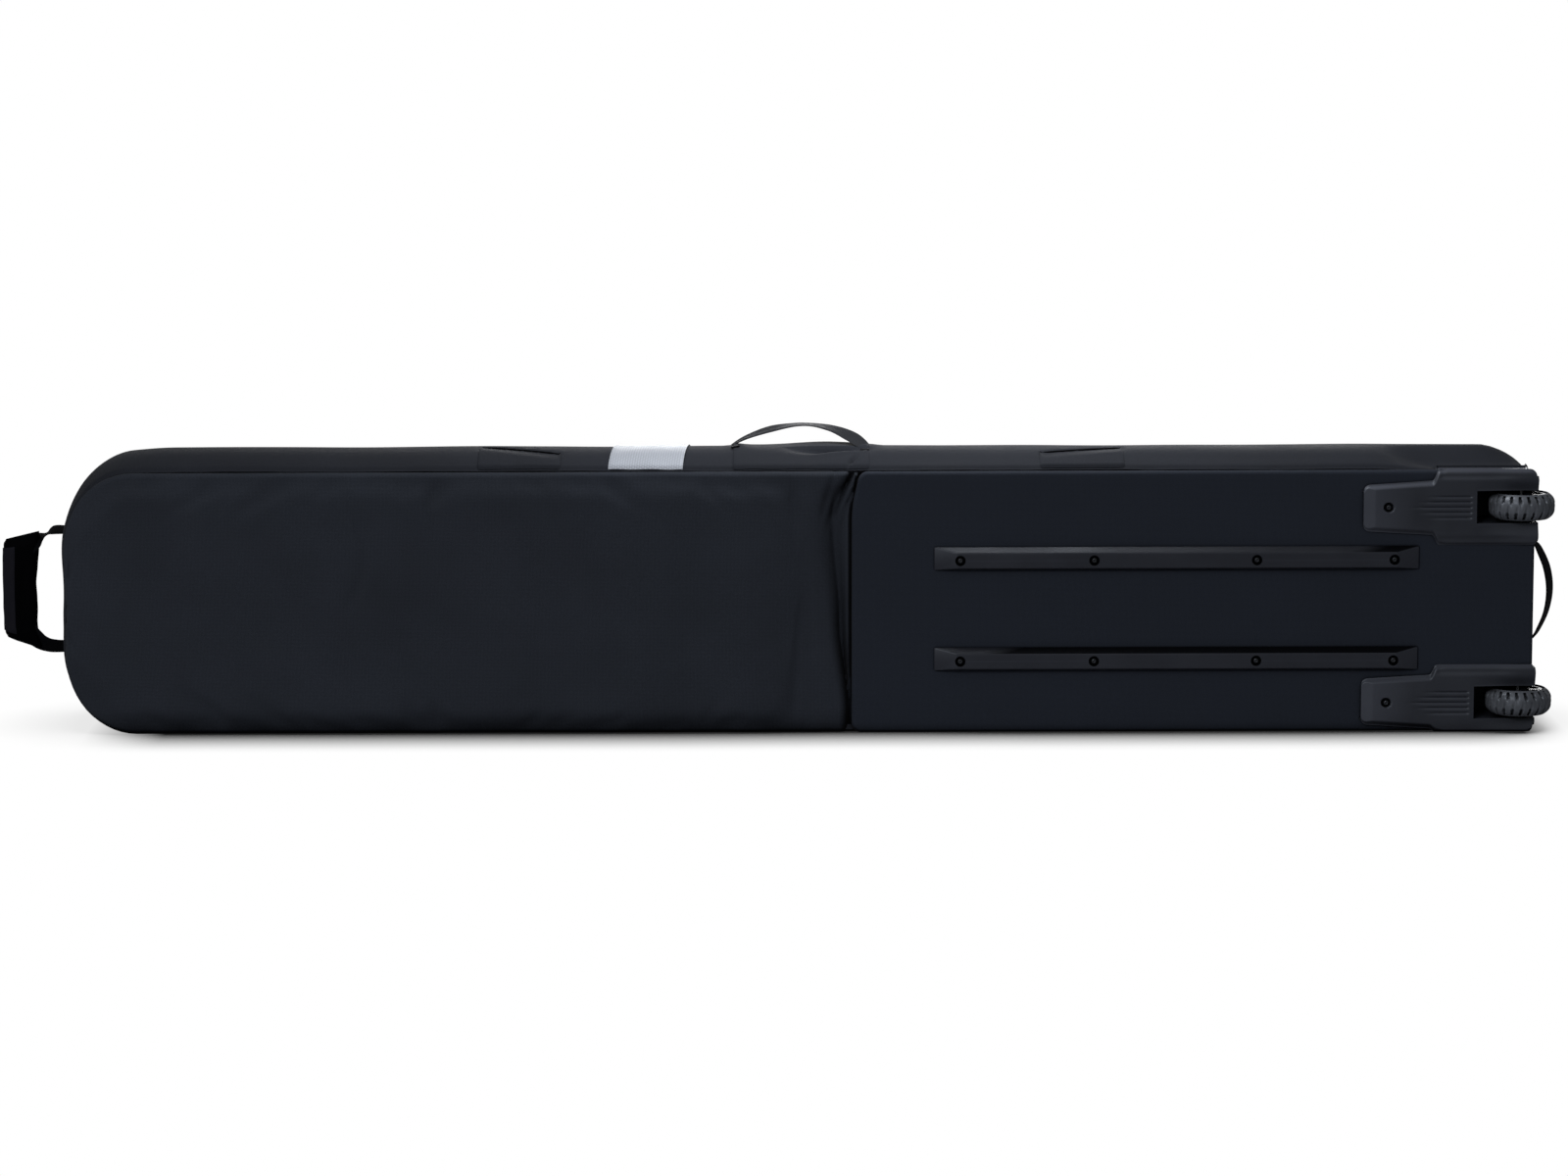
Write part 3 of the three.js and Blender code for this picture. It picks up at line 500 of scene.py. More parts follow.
def honeycomb(name, color, cell):
    """Light laminate with a honeycomb emboss: three waves at 60 degrees make the cells."""
    s = Shader(name)
    u, v, _ = s.axes("UVMap")
    wave = 0.0
    k = 4 * math.pi / (math.sqrt(3) * cell)
    for angle in (0, 60, 120):
        a = math.radians(angle)
        along = s.math("ADD", s.math("MULTIPLY", u, k * math.cos(a)), s.math("MULTIPLY", v, k * math.sin(a)))
        wave = s.math("ADD", s.math("COSINE", along), wave)
    height = s.ramp(wave, -1.5, 1.2)
    tint = s.mix(height, tone(color, 0.72), tone(color, 1.06))
    return s.finish(tint, 0.42, height, 0.25 * MM, 0.8, Sheen_Weight=0.1)


def make_materials():
    dark = (0.0160, 0.0178, 0.0235)
    return {
        # some materials reach further for their painted crevice shade, or darken more in it
        "nose": fabric("nose_fabric", (0.0240, 0.0280, 0.0375), 1.5 * MM, crevice=30 * MM, gap=(0.42, 0.90)),
        "tail": fabric(
            "tail_fabric", (0.0187, 0.0228, 0.0330), 1.3 * MM, relief=0.08 * MM, vary=0.12, gap=(0.30, 0.85)
        ),
        "gusset": fabric("gusset_fabric", dark, 1.4 * MM, "chevron"),
        "patch": fabric("patch_fabric", dark, 1.4 * MM),
        "reflective": honeycomb("reflective_laminate", (0.42, 0.45, 0.51), 3.2 * MM),
        "webbing": fabric(
            "webbing", (0.0024, 0.0025, 0.0034), 2.2 * MM, "ribs", 0.25 * MM, 0.6, sheen=0, shine=0.06
        ),
        "handle": fabric("handle_webbing", (0.0140, 0.0147, 0.0180), 2.2 * MM, "ribs", 0.25 * MM, 0.6),
        "grip": fabric(
            "grip_fabric", (0.0008, 0.0008, 0.0012), 1.6 * MM, relief=0.15 * MM, sheen=0, shine=0.03
        ),
        # lighter than the grip: partly the binding's own colour, partly painted light on the wrap's lit side
        "binding": fabric("grip_binding", (0.0090, 0.0085, 0.0125), 1.4 * MM, sheen=0),
        "tape": fabric("zip_tape", (0.010, 0.011, 0.013), 1.0 * MM, "chevron", 0.08 * MM),
        "coil": plastic("zip_coil", (0.012, 0.012, 0.014), 0.35, wear_and_highlight=0.3),
        "moulding": plastic(
            "moulded_plastic", (0.0225, 0.0245, 0.0320), 0.42, shine=0.5, guard=True, crevice=30 * MM
        ),
        "runner": plastic("runner_plastic", (0.0160, 0.0172, 0.0230), 0.42, shine=0.4, runner=True),
        "board": plastic("board_plastic", (0.012, 0.012, 0.013), 0.6, wear_and_highlight=0.1),
        "hub": plastic("hub_plastic", (0.008, 0.008, 0.010), 0.4),
        "rubber": rubber("tyre_rubber", (0.066, 0.072, 0.084)),
        "steel": metal("steel", (0.42, 0.43, 0.45), 0.35),
        "screw": metal("black_screw", (0.050, 0.054, 0.062), metallic=0.4),
        # near-black matte for the rings that paint the shade in the screw recesses
        "pit": plastic("screw_recess", (0.0008, 0.0008, 0.0010), 0.6, wear_and_highlight=0.0, shine=0.05),
        "slider": metal("black_slider", (0.035, 0.036, 0.038), metallic=0.8),
    }


MATERIAL = make_materials()


# ---- the bag's skin

def bulge_share(x, y):
    """Share of the gusset's bulge: none at the back seam and at the zip. The wheel housings hold it flat."""
    middle = (BACK_Y + LID_Y) / 2
    t = np.clip((y - middle) / (LID_Y - middle), -1, 1)
    share = np.where(t < 0, 1 - np.abs(t) ** CROWN_POWER, 0.5 + 0.5 * np.cos(math.pi * t))
    held = smooth(0.640, 0.715, x) * (1 - smooth(-0.060, -0.020, y))
    return share * (1 - held)


def crown(x, y):
    """How far the upper gusset bulges: less over the nose corner, and running out over the tail corner."""
    return CROWN * bulge_share(x, y) * (1 - smooth(0.765, 0.832, x)) * (1 - 0.3 * smooth(0.700, 0.800, -x))


def line(a, b, steps):
    a, b = np.array(a), np.array(b)
    d = unit(b - a)
    return np.linspace(a, b, steps + 1), repeated((d[1], -d[0]), steps + 1)


def arc(centre, radii, start, steps):
    angle = math.radians(start) + np.linspace(0, math.pi / 2, steps + 1)
    c, s = np.cos(angle), np.sin(angle)
    points = np.array(centre) + np.stack([c * radii[0], s * radii[1]], 1)
    return points, unit(np.stack([c / radii[0], s / radii[1]], 1))


PARTS = ("top", "bottom", "nose", "tail")


def loop_part(part, y, spacing):
    """A stretch of the outline at depth y, anticlockwise seen from the back face: points and normals."""
    open_out = float(smooth(BACK_Y + TAIL_MARGIN, FRONT_Y - TAIL_MARGIN, y))
    r = TAIL_RADIUS[0] + (TAIL_RADIUS[1] - TAIL_RADIUS[0]) * open_out
    right, left = HALF_LENGTH - r, -HALF_LENGTH + NOSE_CORNER[0]
    low, high = NOSE_CORNER[1], WIDTH - NOSE_CORNER[1]
    side, long = int(WIDTH / spacing), int((CUT_TAIL - CUT_NOSE) / spacing)
    bits = {
        "tail": [
            line((CUT_TAIL, 0), (right, 0), 3),
            arc((right, r), (r, r), -90, 14),
            line((HALF_LENGTH, r), (HALF_LENGTH, WIDTH - r), side),
            arc((right, WIDTH - r), (r, r), 0, 14),
            line((right, WIDTH), (CUT_TAIL, WIDTH), 3),
        ],
        "top": [line((CUT_TAIL, WIDTH), (CUT_NOSE, WIDTH), long)],
        "nose": [
            line((CUT_NOSE, WIDTH), (left, WIDTH), 2),
            arc((left, high), NOSE_CORNER, 90, 24),
            line((-HALF_LENGTH, high), (-HALF_LENGTH, low), side // 2),
            arc((left, low), NOSE_CORNER, 180, 24),
            line((left, 0), (CUT_NOSE, 0), 2),
        ],
        "bottom": [line((CUT_NOSE, 0), (CUT_TAIL, 0), long)],
    }[part]
    return [np.concatenate([bits[0][k]] + [b[k][1:] for b in bits[1:]]) for k in (0, 1)]


def skin(part, stations, inset_at, spacing=6 * MM):
    """Points of the skin, shape (along the outline, depth, 3). inset_at takes (x, y, z) arrays."""
    columns = []
    for y in stations:
        points, normals = loop_part(part, y, spacing)
        x, z = points[:, 0], points[:, 1]
        inset = inset_at(x, np.full_like(x, y), z)
        x = x - normals[:, 0] * inset
        z = z - normals[:, 1] * inset
        upward = np.maximum(0, 2 * z / WIDTH - 1)
        lengthwise = END_BULGE * bulge_share(x, y) * x / HALF_LENGTH
        columns.append(np.stack([x + lengthwise, np.full_like(x, y), z + crown(x, y) * upward], 1))
    return np.stack(columns, 1)


def under_guard(x, y, z):
    """1 where a wheel housing covers the gusset."""
    along = smooth(709 * MM, 715 * MM, x) * (1 - smooth(-62.5 * MM, -58.5 * MM, y))
    near_wheel = np.maximum(smooth(209 * MM, 213 * MM, z), 1 - smooth(75 * MM, 79 * MM, z))
    behind = smooth(812 * MM, 818 * MM, x) * (1 - smooth(-26 * MM, -22 * MM, y)) * near_wheel
    return np.maximum(along, behind)


SEAM_DIP = 3 * MM
TAPE_SUNK = 1.4 * MM


def seam_dip(y):
    """The gusset turns in where it meets the back panel."""
    return SEAM_DIP * (1 - smooth(SEAM_Y, SEAM_Y + 4.5 * MM, y)) ** 1.5


def past_zip_start(z):
    return smooth(ZIP_START_Z - 4 * MM, ZIP_START_Z, z)


def body_inset(x, y, z):
    """The gusset turns in at the seam with the back panel, under the zip tape and under the guards."""
    tape = smooth(TAPE_LOW - 0.6 * MM, TAPE_LOW + 0.6 * MM, y)
    return seam_dip(y) + TAPE_SUNK * tape * past_zip_start(z) + 4 * MM * under_guard(x, y, z)


def lid_inset(x, y, z):
    """The lid's gusset turns in at the zip and at its own panel, and clears the bag's bottom edge."""
    tape = 1 - smooth(TAPE_HIGH - 0.6 * MM, TAPE_HIGH + 0.6 * MM, y)
    seam = SEAM_DIP * smooth(FRONT_Y - PANEL - 3 * MM, FRONT_Y - PANEL, y)
    lifted = 1.2 * MM * (1 - smooth(0, 4 * MM, z))
    return TAPE_SUNK * tape * past_zip_start(z) + seam + lifted


def handle_pull(x, y):
    """Shape of the top gusset under the side handle: pulled up at its feet, slack and dented between them."""
    feet = bump(-70 * MM, 18 * MM, x) + bump(80 * MM, 18 * MM, x)
    hump = bump(28 * MM, 75 * MM, x) * bump(5 * MM, 38 * MM, y)
    dent = bump(34 * MM, 60 * MM, x) * smooth(-66 * MM, -39 * MM, y) * (1 - smooth(-38 * MM, -30 * MM, y))
    slope = -58 * MM + 0.16 * (x - 30 * MM)
    fold = np.exp(-(((y - slope) / (6 * MM)) ** 2)) * bump(48 * MM, 42 * MM, x)
    pinch = np.exp(-(((x - 62 * MM - 0.5 * (y + 70 * MM)) / (3 * MM)) ** 2)) * bump(-72 * MM, 14 * MM, y)
    return (feet * bump(-20 * MM, 30 * MM, y) * 1.5 + hump * 3.8 - dent * 8.5 + fold * 3.4 - pinch * 4.0) * MM


# each sleeve's mouth runs across the gusset from its nose end's depth to its tail end's depth
SLEEVES = {"nose": (-21 * MM, -52 * MM), "tail": (-51 * MM, -34 * MM)}


def sleeve_mouth(end, x):
    low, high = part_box("strap_sleeve_" + end)
    first, last = SLEEVES[end]
    return first + (last - first) * np.clip((x - low.x) / (high.x - low.x), 0, 1)


def sleeve_dip(x, y):
    """The gusset is pressed down in front of each sleeve's mouth, so the mouth shows as a step."""
    total = 0.0
    for end in SLEEVES:
        low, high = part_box("strap_sleeve_" + end)
        middle, half = (low.x + high.x) / 2, (high.x - low.x) / 2
        inside = 1 - smooth(half - 3 * MM, half, np.abs(x - middle))
        mouth = sleeve_mouth(end, x)
        before = smooth(mouth - 26 * MM, mouth - MM, y) * (1 - smooth(mouth, mouth + 1.5 * MM, y))
        total = total + inside * before
    return 2.6 * MM * total


def gusset_relief(points):
    """Slow waves, and puckers that run across the seam and fade away from it."""
    x, y, z = np.moveaxis(points, -1, 0)
    near_seam = np.exp(-(y - SEAM_Y) / (13 * MM))
    waves = noise_at(points, (7, 16, 16)) * 1.3 * MM
    puckers = noise_at(points, (44, 9, 44), 7.3) * 1.0 * MM * near_seam
    stiff = smooth(600 * MM, 720 * MM, x)
    out = (waves + puckers) * (1 - 0.6 * stiff)
    out = out * np.where(z < 50 * MM, 0.25, 1.0)
    return out + (handle_pull(x, y) - sleeve_dip(x, y)) * smooth(250 * MM, 290 * MM, z)


def top_surface(x, y, lift=0.0):
    """Points on the finished top gusset, for what is sewn to it."""
    x, y = np.broadcast_arrays(x, y)
    points = np.stack([x, y, WIDTH + crown(x, y)], -1)
    slope = (crown(x, y + MM) - crown(x, y - MM)) / (2 * MM)
    normal = unit(np.stack([np.zeros_like(x), -slope, np.ones_like(x)], -1))
    return points + normal * (gusset_relief(points) + lift)[..., None]


def make_gussets():
    """The body's gusset in four parts. Its grid is finest beside the seam and at the zip tape."""
    near_seam = SEAM_Y + np.array([0, 0.8, 1.8, 3.0, 4.5, 6.5, 9.0, 12.0]) * MM
    first, last = near_seam[-1], TAPE_LOW - MM
    between = np.linspace(first, last, max(3, int((last - first) / (5.5 * MM))))
    at_tape = [TAPE_LOW, TAPE_LOW + MM, TAPE_LOW + 8 * MM, LID_Y - 0.2 * MM]
    stations = np.unique(np.concatenate([near_seam, between[1:], at_tape]))
    for part in PARTS:
        outer = skin(part, stations, body_inset)
        # a skin grid's normals point into the bag
        outer = outer - grid_normals(outer) * gusset_relief(outer)[..., None]
        node = "gusset_" + part
        shell(node + "_fabric", outer[:, ::-1], WALL * 0.6, "gusset", "bag", [node])


def make_lid_gusset():
    stations = np.linspace(LID_Y + 0.2 * MM, FRONT_Y - PANEL + 0.2 * MM, 9)
    for part in PARTS:
        outer = skin(part, stations, lid_inset, 8 * MM)
        shell("lid_gusset_" + part, outer[:, ::-1], WALL * 0.6, "gusset", "lid", ["lid_gusset"])


# ---- padded panels, by cloth simulation

# how far a padded panel's edge rolls over, in degrees
EDGE_TURN = 150


class Pad:
    """A panel's outer sheet: a mapped grid with rounded corners, then rings that roll over its edge."""

    def __init__(self, name, x0, x1, corner0, corner1, face, outward, roll, spacing, fine=0):
        self.name, self.face, self.outward, self.roll = name, face, outward, roll
        (ax, az), (bx, bz) = corner0, corner1
        left, right = x0 + roll, x1 - roll
        ax, az, bx, bz = ax - roll, az - roll, bx - roll, bz - roll
        quarter = np.linspace(0, math.pi / 2, 15)
        run = np.linspace(left + ax, right - bx - fine, max(4, int((right - left - fine) / spacing)))[1:]
        if fine:
            run = np.concatenate([run, np.arange(right - bx - fine, right - bx, 1.6 * MM)[1:]])
        xs = np.concatenate([left + ax * (1 - np.cos(quarter)), run[:-1], right - bx + bx * np.sin(quarter)])
        near0, near1 = (left + ax - xs) / ax, (xs - right + bx) / bx
        cut = az * round_off(near0) + bz * round_off(near1)
        low, high = roll + cut, WIDTH - roll - cut
        rows = np.linspace(0, 1, int(WIDTH / spacing))
        z = low[:, None] + (high - low)[:, None] * rows[None]
        x = np.broadcast_to(xs[:, None], z.shape)
        self.grid = np.stack([x, np.full_like(z, face), z], -1)
        self.edge = border(numbered(*z.shape).T)
        flat = self.grid.reshape(-1, 3)[self.edge]
        tangent = np.roll(flat, -1, 0) - np.roll(flat, 1, 0)
        self.normal = unit(np.stack([tangent[:, 2], np.zeros(len(flat)), -tangent[:, 0]], 1))
        angles = np.radians(np.linspace(0, EDGE_TURN, 11)[1:])
        rings = [
            flat + self.normal * roll * math.sin(a) - np.array([0, outward * roll * (1 - math.cos(a)), 0])
            for a in angles
        ]
        self.points = np.concatenate([self.grid.reshape(-1, 3), *rings])
        self.rings = len(rings)

    def sheet_faces(self):
        n, m = self.grid.shape[:2]
        faces = list(grid_faces(n, m))
        k = len(self.edge)
        rows = [self.edge] + [n * m + r * k + np.arange(k) for r in range(self.rings)]
        for a, b in zip(rows, rows[1:]):
            faces += list(np.stack([a, np.roll(a, -1), np.roll(b, -1), b], 1))
        return faces

    def uv(self):
        """The face's own x and z; the rolled edge goes on outwards, so the weave doesn't stretch."""
        base = self.grid.reshape(-1, 3)[:, [0, 2]]
        out = [base]
        step = self.roll * math.radians(EDGE_TURN) / self.rings
        for r in range(self.rings):
            out.append(base[self.edge] + self.normal[:, [0, 2]] * step * (r + 1))
        return np.concatenate(out)

    def build(self, material, body, replaced):
        """Closes the sheet with a flat inner face and makes the piece."""
        n, m = self.grid.shape[:2]
        inner = self.grid.reshape(-1, 3).copy()
        inner[:, 1] = self.face - self.outward * (PANEL - 0.2 * MM)
        first = len(self.points)
        k = len(self.edge)
        last = n * m + (self.rings - 1) * k + np.arange(k)
        rim = first + self.edge
        faces = self.sheet_faces() + list(grid_faces(n, m, first, flip=True))
        faces += list(np.stack([last, np.roll(last, -1), np.roll(rim, -1), rim], 1))
        verts = np.concatenate([self.points, inner])
        uv = np.concatenate([self.uv(), self.grid.reshape(-1, 3)[:, [0, 2]]])
        return piece(self.name, verts, faces, uv, material, body, replaced)


CLOTH_FRAMES = 20


def start_cloth(pad, pressure, slack, pinned_rings=3):
    """Makes the pad's sheet a cloth whose sewn edge is pinned. slack is the share of spare fabric."""
    mesh = bpy.data.meshes.new("sim_" + pad.name)
    mesh.from_pydata(pad.points.tolist(), [], [list(map(int, f)) for f in pad.sheet_faces()])
    obj = link(bpy.data.objects.new("sim_" + pad.name, mesh))
    pins = obj.vertex_groups.new(name="pins")
    k = len(pad.edge)
    pins.add(list(range(len(pad.points) - pinned_rings * k, len(pad.points))), 1.0, "ADD")
    cloth = obj.modifiers.new("cloth", "CLOTH").settings
    cloth.quality = 4
    cloth.mass = 0.4
    cloth.tension_stiffness = 20
    cloth.compression_stiffness = 20
    cloth.shear_stiffness = 8
    cloth.bending_stiffness = 3
    cloth.vertex_group_mass = "pins"
    cloth.shrink_min = -slack
    cloth.use_pressure = True
    cloth.uniform_pressure_force = pressure * -pad.outward
    cloth.effector_weights.gravity = 0
    obj.modifiers["cloth"].collision_settings.use_collision = False
    obj.modifiers["cloth"].point_cache.frame_end = CLOTH_FRAMES
    return obj


def settle(pads, cap, inward, calm):
    """Runs every cloth at once and moves each pad's points by what it found, within a cap.

    calm is how wide a strip along the long edges, and beside the seam of the back panels, hardly moves.
    """
    scene = bpy.context.scene
    for number in range(1, CLOTH_FRAMES + 1):
        scene.frame_set(number)
    depsgraph = bpy.context.evaluated_depsgraph_get()
    for pad, obj in pads:
        mesh = obj.evaluated_get(depsgraph).to_mesh()
        moved = np.zeros(len(mesh.vertices) * 3, np.float32)
        mesh.vertices.foreach_get("co", moved)
        shift = moved.reshape(-1, 3) - pad.points
        out = shift[:, 1] * pad.outward
        shift[:, 1] = np.clip(out, -inward, cap) * pad.outward
        shift[:, [0, 2]] = np.clip(shift[:, [0, 2]], -4 * MM, 4 * MM)
        x, z = pad.points[:, 0], pad.points[:, 2]
        free = smooth(0, calm, z) * smooth(0, calm, WIDTH - z)
        if pad.outward < 0:
            free = free * smooth(0, 2 * calm, SEAM_X - calm - x)
        pad.points = pad.points + shift * free[:, None]
        bpy.data.objects.remove(obj)
    scene.frame_set(1)


def shape_nose_pad(pad):
    """Rolls the soft panel's end down into the seam with the stiff half, with folds near the top."""
    p = pad.points
    x, z = p[:, 0].copy(), p[:, 2]
    level = z / WIDTH
    # how far short of the seam the soft panel's bulge ends, and how deep the valley beside it is
    short = 2 * MM + 12 * MM * smooth(0.03, 0.45, level) + 7 * MM * smooth(0.45, 0.80, level)
    short = np.maximum(short - 14 * MM * smooth(0.90, 1.0, level), 3 * MM)
    depth = 10.5 * MM - 1.0 * MM * smooth(0.38, 0.62, level) - 4.5 * MM * smooth(0.9, 1.0, level)
    radius = 12 * MM + 7 * MM * smooth(0.35, 0.7, level)
    edge = SEAM_X - short
    t = np.clip((x - (edge - radius)) / radius, 0, 1)
    p[:, 1] += depth * t ** 2.1
    # past the valley the tucked fold comes up again, then dips into the seam
    tuck = smooth(3 * MM, 8 * MM, short)
    p[:, 1] -= (depth - 1.5 * MM) * tuck * smooth(0, 1, (x - edge - MM) / np.maximum(short - 4 * MM, MM))
    p[:, 1] += 5 * MM * tuck * smooth(SEAM_X - 3 * MM, SEAM_X + 0.5 * MM, x)
    lift = smooth(0.05, 0.3, level) * (1 - smooth(0.85, 0.97, level))
    p[:, 1] -= 2.2 * MM * lift * bump(0, 22 * MM, x - (edge - radius - 8 * MM))
    # folds near the top: foot from the seam, lean, width and depth
    for foot, lean, width, deep in ((-6, -0.34, 2.8, 5.0), (4, -0.30, 2.4, 4.0), (-23, -0.20, 4.0, 2.2)):
        centre = SEAM_X + foot * MM + lean * (WIDTH - z)
        p[:, 1] += deep * MM * np.exp(-(((x - centre) / (width * MM)) ** 2)) * smooth(0.76, 0.90, level)


def lean_seam(pad):
    """At the top the seam between the two back panels leans towards the tail."""
    p = pad.points
    p[:, 0] += 8 * MM * smooth(0.80, 1.0, p[:, 2] / WIDTH) ** 1.5 * bump(SEAM_X, 60 * MM, p[:, 0])


def soft_relief(pad, broad, seam, crease=0.0):
    """Low waves over the sheet, and puckers along its sewn edge."""
    p = pad.points
    edge = np.minimum(np.minimum(p[:, 2], WIDTH - p[:, 2]), np.abs(p[:, 0] + HALF_LENGTH) + 4 * MM)
    near = np.exp(-np.maximum(edge, 0) / (13 * MM))
    out = noise_at(p, (8, 1, 11), 3.1) * broad + noise_at(p, (3.2, 1, 4.5), 9.4) * broad * 1.4
    out += noise_at(p, (46, 9, 46), 5.7) * seam * near
    # one curved crease, a short arc about a point near the nose
    arc_radius = np.hypot(p[:, 0] + 585 * MM, p[:, 2] - 205 * MM)
    out -= crease * np.exp(-(((arc_radius - 98 * MM) / (5 * MM)) ** 2)) * bump(-490 * MM, 30 * MM, p[:, 0])
    p[:, 1] += out * pad.outward


def cut_wells(obj):
    """Cuts the openings for the two wheels out of the stiff panel."""
    work = bmesh.new()
    start, end = WELL_START - 0.8 * MM, HALF_LENGTH + 30 * MM
    size = Matrix.Diagonal((end - start, 60 * MM, 2 * WELL_HALF + 1.6 * MM, 1.0))
    for label in SIDES:
        z = JOINT[f"wheel_{label}_spin"]["pos_m"][2]
        place = Matrix.Translation(((start + end) / 2, BACK_Y, z))
        bmesh.ops.create_cube(work, size=1.0, matrix=place @ size)
    cut_away(obj, work)


def make_panels():
    tail_back, tail_front = [(radius, radius) for radius in TAIL_RADIUS]
    stiff_corner, tucked_corner = (11 * MM, 11 * MM), (8 * MM, 8 * MM)
    nose_end, fine = SEAM_X + 7 * MM, 70 * MM
    nose = Pad(
        "back_nose_pad", -HALF_LENGTH, nose_end, NOSE_CORNER, tucked_corner, BACK_Y, -1, ROLL, 6 * MM, fine
    )
    tail = Pad("back_tail_pad", SEAM_X, HALF_LENGTH, stiff_corner, tail_back, BACK_Y, -1, 4.5 * MM, 7 * MM)
    lid = Pad("lid_pad", -HALF_LENGTH, HALF_LENGTH, NOSE_CORNER, tail_front, FRONT_Y, 1, ROLL, 9 * MM)
    cloths = [(nose, start_cloth(nose, 1.2, 0.012)), (lid, start_cloth(lid, 1.0, 0.012))]
    settle(cloths, cap=5 * MM, inward=1.5 * MM, calm=32 * MM)
    shape_nose_pad(nose)
    lean_seam(nose)
    lean_seam(tail)
    soft_relief(nose, 0.9 * MM, 1.1 * MM, 1.6 * MM)
    soft_relief(tail, 0.25 * MM, 0.35 * MM)
    soft_relief(lid, 1.2 * MM, 1.0 * MM)
    nose.points[:, 1] = np.minimum(nose.points[:, 1], BACK_Y + PANEL - 0.8 * MM)
    lid.points[:, 2] = np.maximum(lid.points[:, 2], MM)
    nose.build("nose", "bag", ["back_panel_nose"])
    stiff = tail.build("tail", "bag", ["back_panel_tail"])
    cut_wells(stiff)
    lid.build("nose", "lid", ["lid_panel"])


# ---- sewn patches and stitches

def stitches(name, path, up, spacing, body):
    """Thread along a path: each stitch is a small six-sided lozenge that dips into the cloth at both ends."""
    length, radius, sides = 2.4 * MM, 0.35 * MM, 6
    s = lengths(path)
    up = np.array(up, float)
    verts, faces = [], []
    for d in np.arange(0.5 * spacing, s[-1] - 0.5 * spacing, spacing):
        centre, ahead = resample(np.array([d, d + 0.5 * MM]), s, path)
        tangent = unit(ahead - centre)
        side = np.cross(up, tangent)
        first = len(verts)
        for share, lift in ((-0.5, -0.6), (-0.35, 0.5), (0.35, 0.5), (0.5, -0.6)):
            middle = centre + tangent * share * length + up * lift * radius
            for turn in np.arange(sides) * 2 * math.pi / sides:
                verts.append(middle + (side * math.cos(turn) + up * math.sin(turn)) * radius)
        for low in range(first, first + 3 * sides, sides):
            for a in range(sides):
                b = (a + 1) % sides
                faces.append((low + a, low + b, low + sides + b, low + sides + a))
        faces.append(tuple(first + a for a in range(sides - 1, -1, -1)))
        faces.append(tuple(first + 3 * sides + a for a in range(sides)))
    return piece(name, verts, faces, None, "webbing", body, merge=1e-9)


def sewn_patch(name, node, material, lift, slant=0.0, shift=0.0, front=None):
    """A patch on the top gusset, its edge turned under. front gives its front edge's depth at each x."""
    low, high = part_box(node)
    xs = shift + np.linspace(low.x, high.x, max(24, int((high.x - low.x) / (2.2 * MM))))
    y0 = SEAM_Y + 0.4 * MM
    share = np.linspace(0, 1, max(26, int((high.y - y0) / (2.4 * MM))))
    y1 = np.full_like(xs, high.y) if front is None else front(xs)
    y = y0 + (y1 - y0)[:, None] * share[None]
    x = xs[:, None] + slant * (y - y0)
    edge = np.minimum(np.minimum(x - x[0], x[-1] - x), y1[:, None] - y)
    raise_by = 0.2 * MM + lift * smooth(0, 2.0 * MM, edge)
    outer = top_surface(x, y, raise_by - seam_dip(y))
    shell(name, outer[:, ::-1], 0.7 * MM, material, "bag", [node])
    inset = 3.2 * MM
    for label, x_line in (("a", low.x + inset), ("b", high.x - inset)):
        v = np.linspace(y0 + 7 * MM, y1[0 if label == "a" else -1] - inset, 60)
        path = top_surface(x_line + slant * (v - y0), v, lift + 0.35 * MM)
        stitches(f"{name}_stitches_{label}", path, (0, 0, 1), 3.6 * MM, "bag")


def make_sleeve(end):
    """A fabric sleeve whose mouth is bound with near-black tape, which also paints the shade in the step at
    its mouth.
    """
    node = "strap_sleeve_" + end
    low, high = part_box(node)
    sewn_patch(node + "_fabric", node, "patch", 0.7 * MM, front=lambda x: sleeve_mouth(end, x) - MM)
    xs = np.linspace(low.x + MM, high.x - MM, 60)
    path = top_surface(xs, sleeve_mouth(end, xs) - 0.2 * MM, 1.2 * MM)
    across = repeated((0, 0.35, 0.94), len(xs))
    width = 3.4 * MM * np.sqrt(np.clip(1 - np.linspace(-1, 1, 60) ** 8, 0.02, 1))
    ribbon(node + "_binding", path, across, width, 1.4 * MM, "grip", "bag")


def make_patches():
    leaning = {"slant": 0.075, "shift": -4 * MM}
    sewn_patch("reflective_panel_sheet", "reflective_panel", "reflective", 0.6 * MM, **leaning)
    sewn_patch("side_handle_patch_fabric", "side_handle_patch", "patch", 0.7 * MM)
    for end in SLEEVES:
        make_sleeve(end)


# ---- zips

TOOTH_PITCH = 2.8 * MM
ZIP_PARTS = ("tail", "top", "nose")


def teeth(along, shift):
    return 0.5 + 0.5 * np.cos(2 * math.pi * along / TOOTH_PITCH + shift)


def zip_run(part, near, far, stations, inset):
    """Points of the skin beside the zip line, at depths from near to far."""
    depths = np.sort(np.linspace(near, far, stations))
    return skin(part, depths, lambda x, y, z: np.full_like(x, inset), 5 * MM)


def after_start(points):
    """The stretch of a run that lies past the zip's lower ends."""
    kept = np.flatnonzero(points[:, 0, 2] > ZIP_START_Z)
    return points[kept[0] : kept[-1] + 1]


def make_tape(body, side):
    """One side of the main zip's woven tape."""
    far = TAPE_LOW + 0.4 * MM if side < 0 else TAPE_HIGH - 0.4 * MM
    for part in ZIP_PARTS:
        points = after_start(zip_run(part, far, LID_Y + side * 0.25 * MM, 8, 0.3 * MM))
        name = f"zip_tape_{'body' if side < 0 else 'lid'}"
        shell(f"{name}_{part}", points[:, ::-1], 1.0 * MM, "tape", body, ["zipper" + name[3:]])


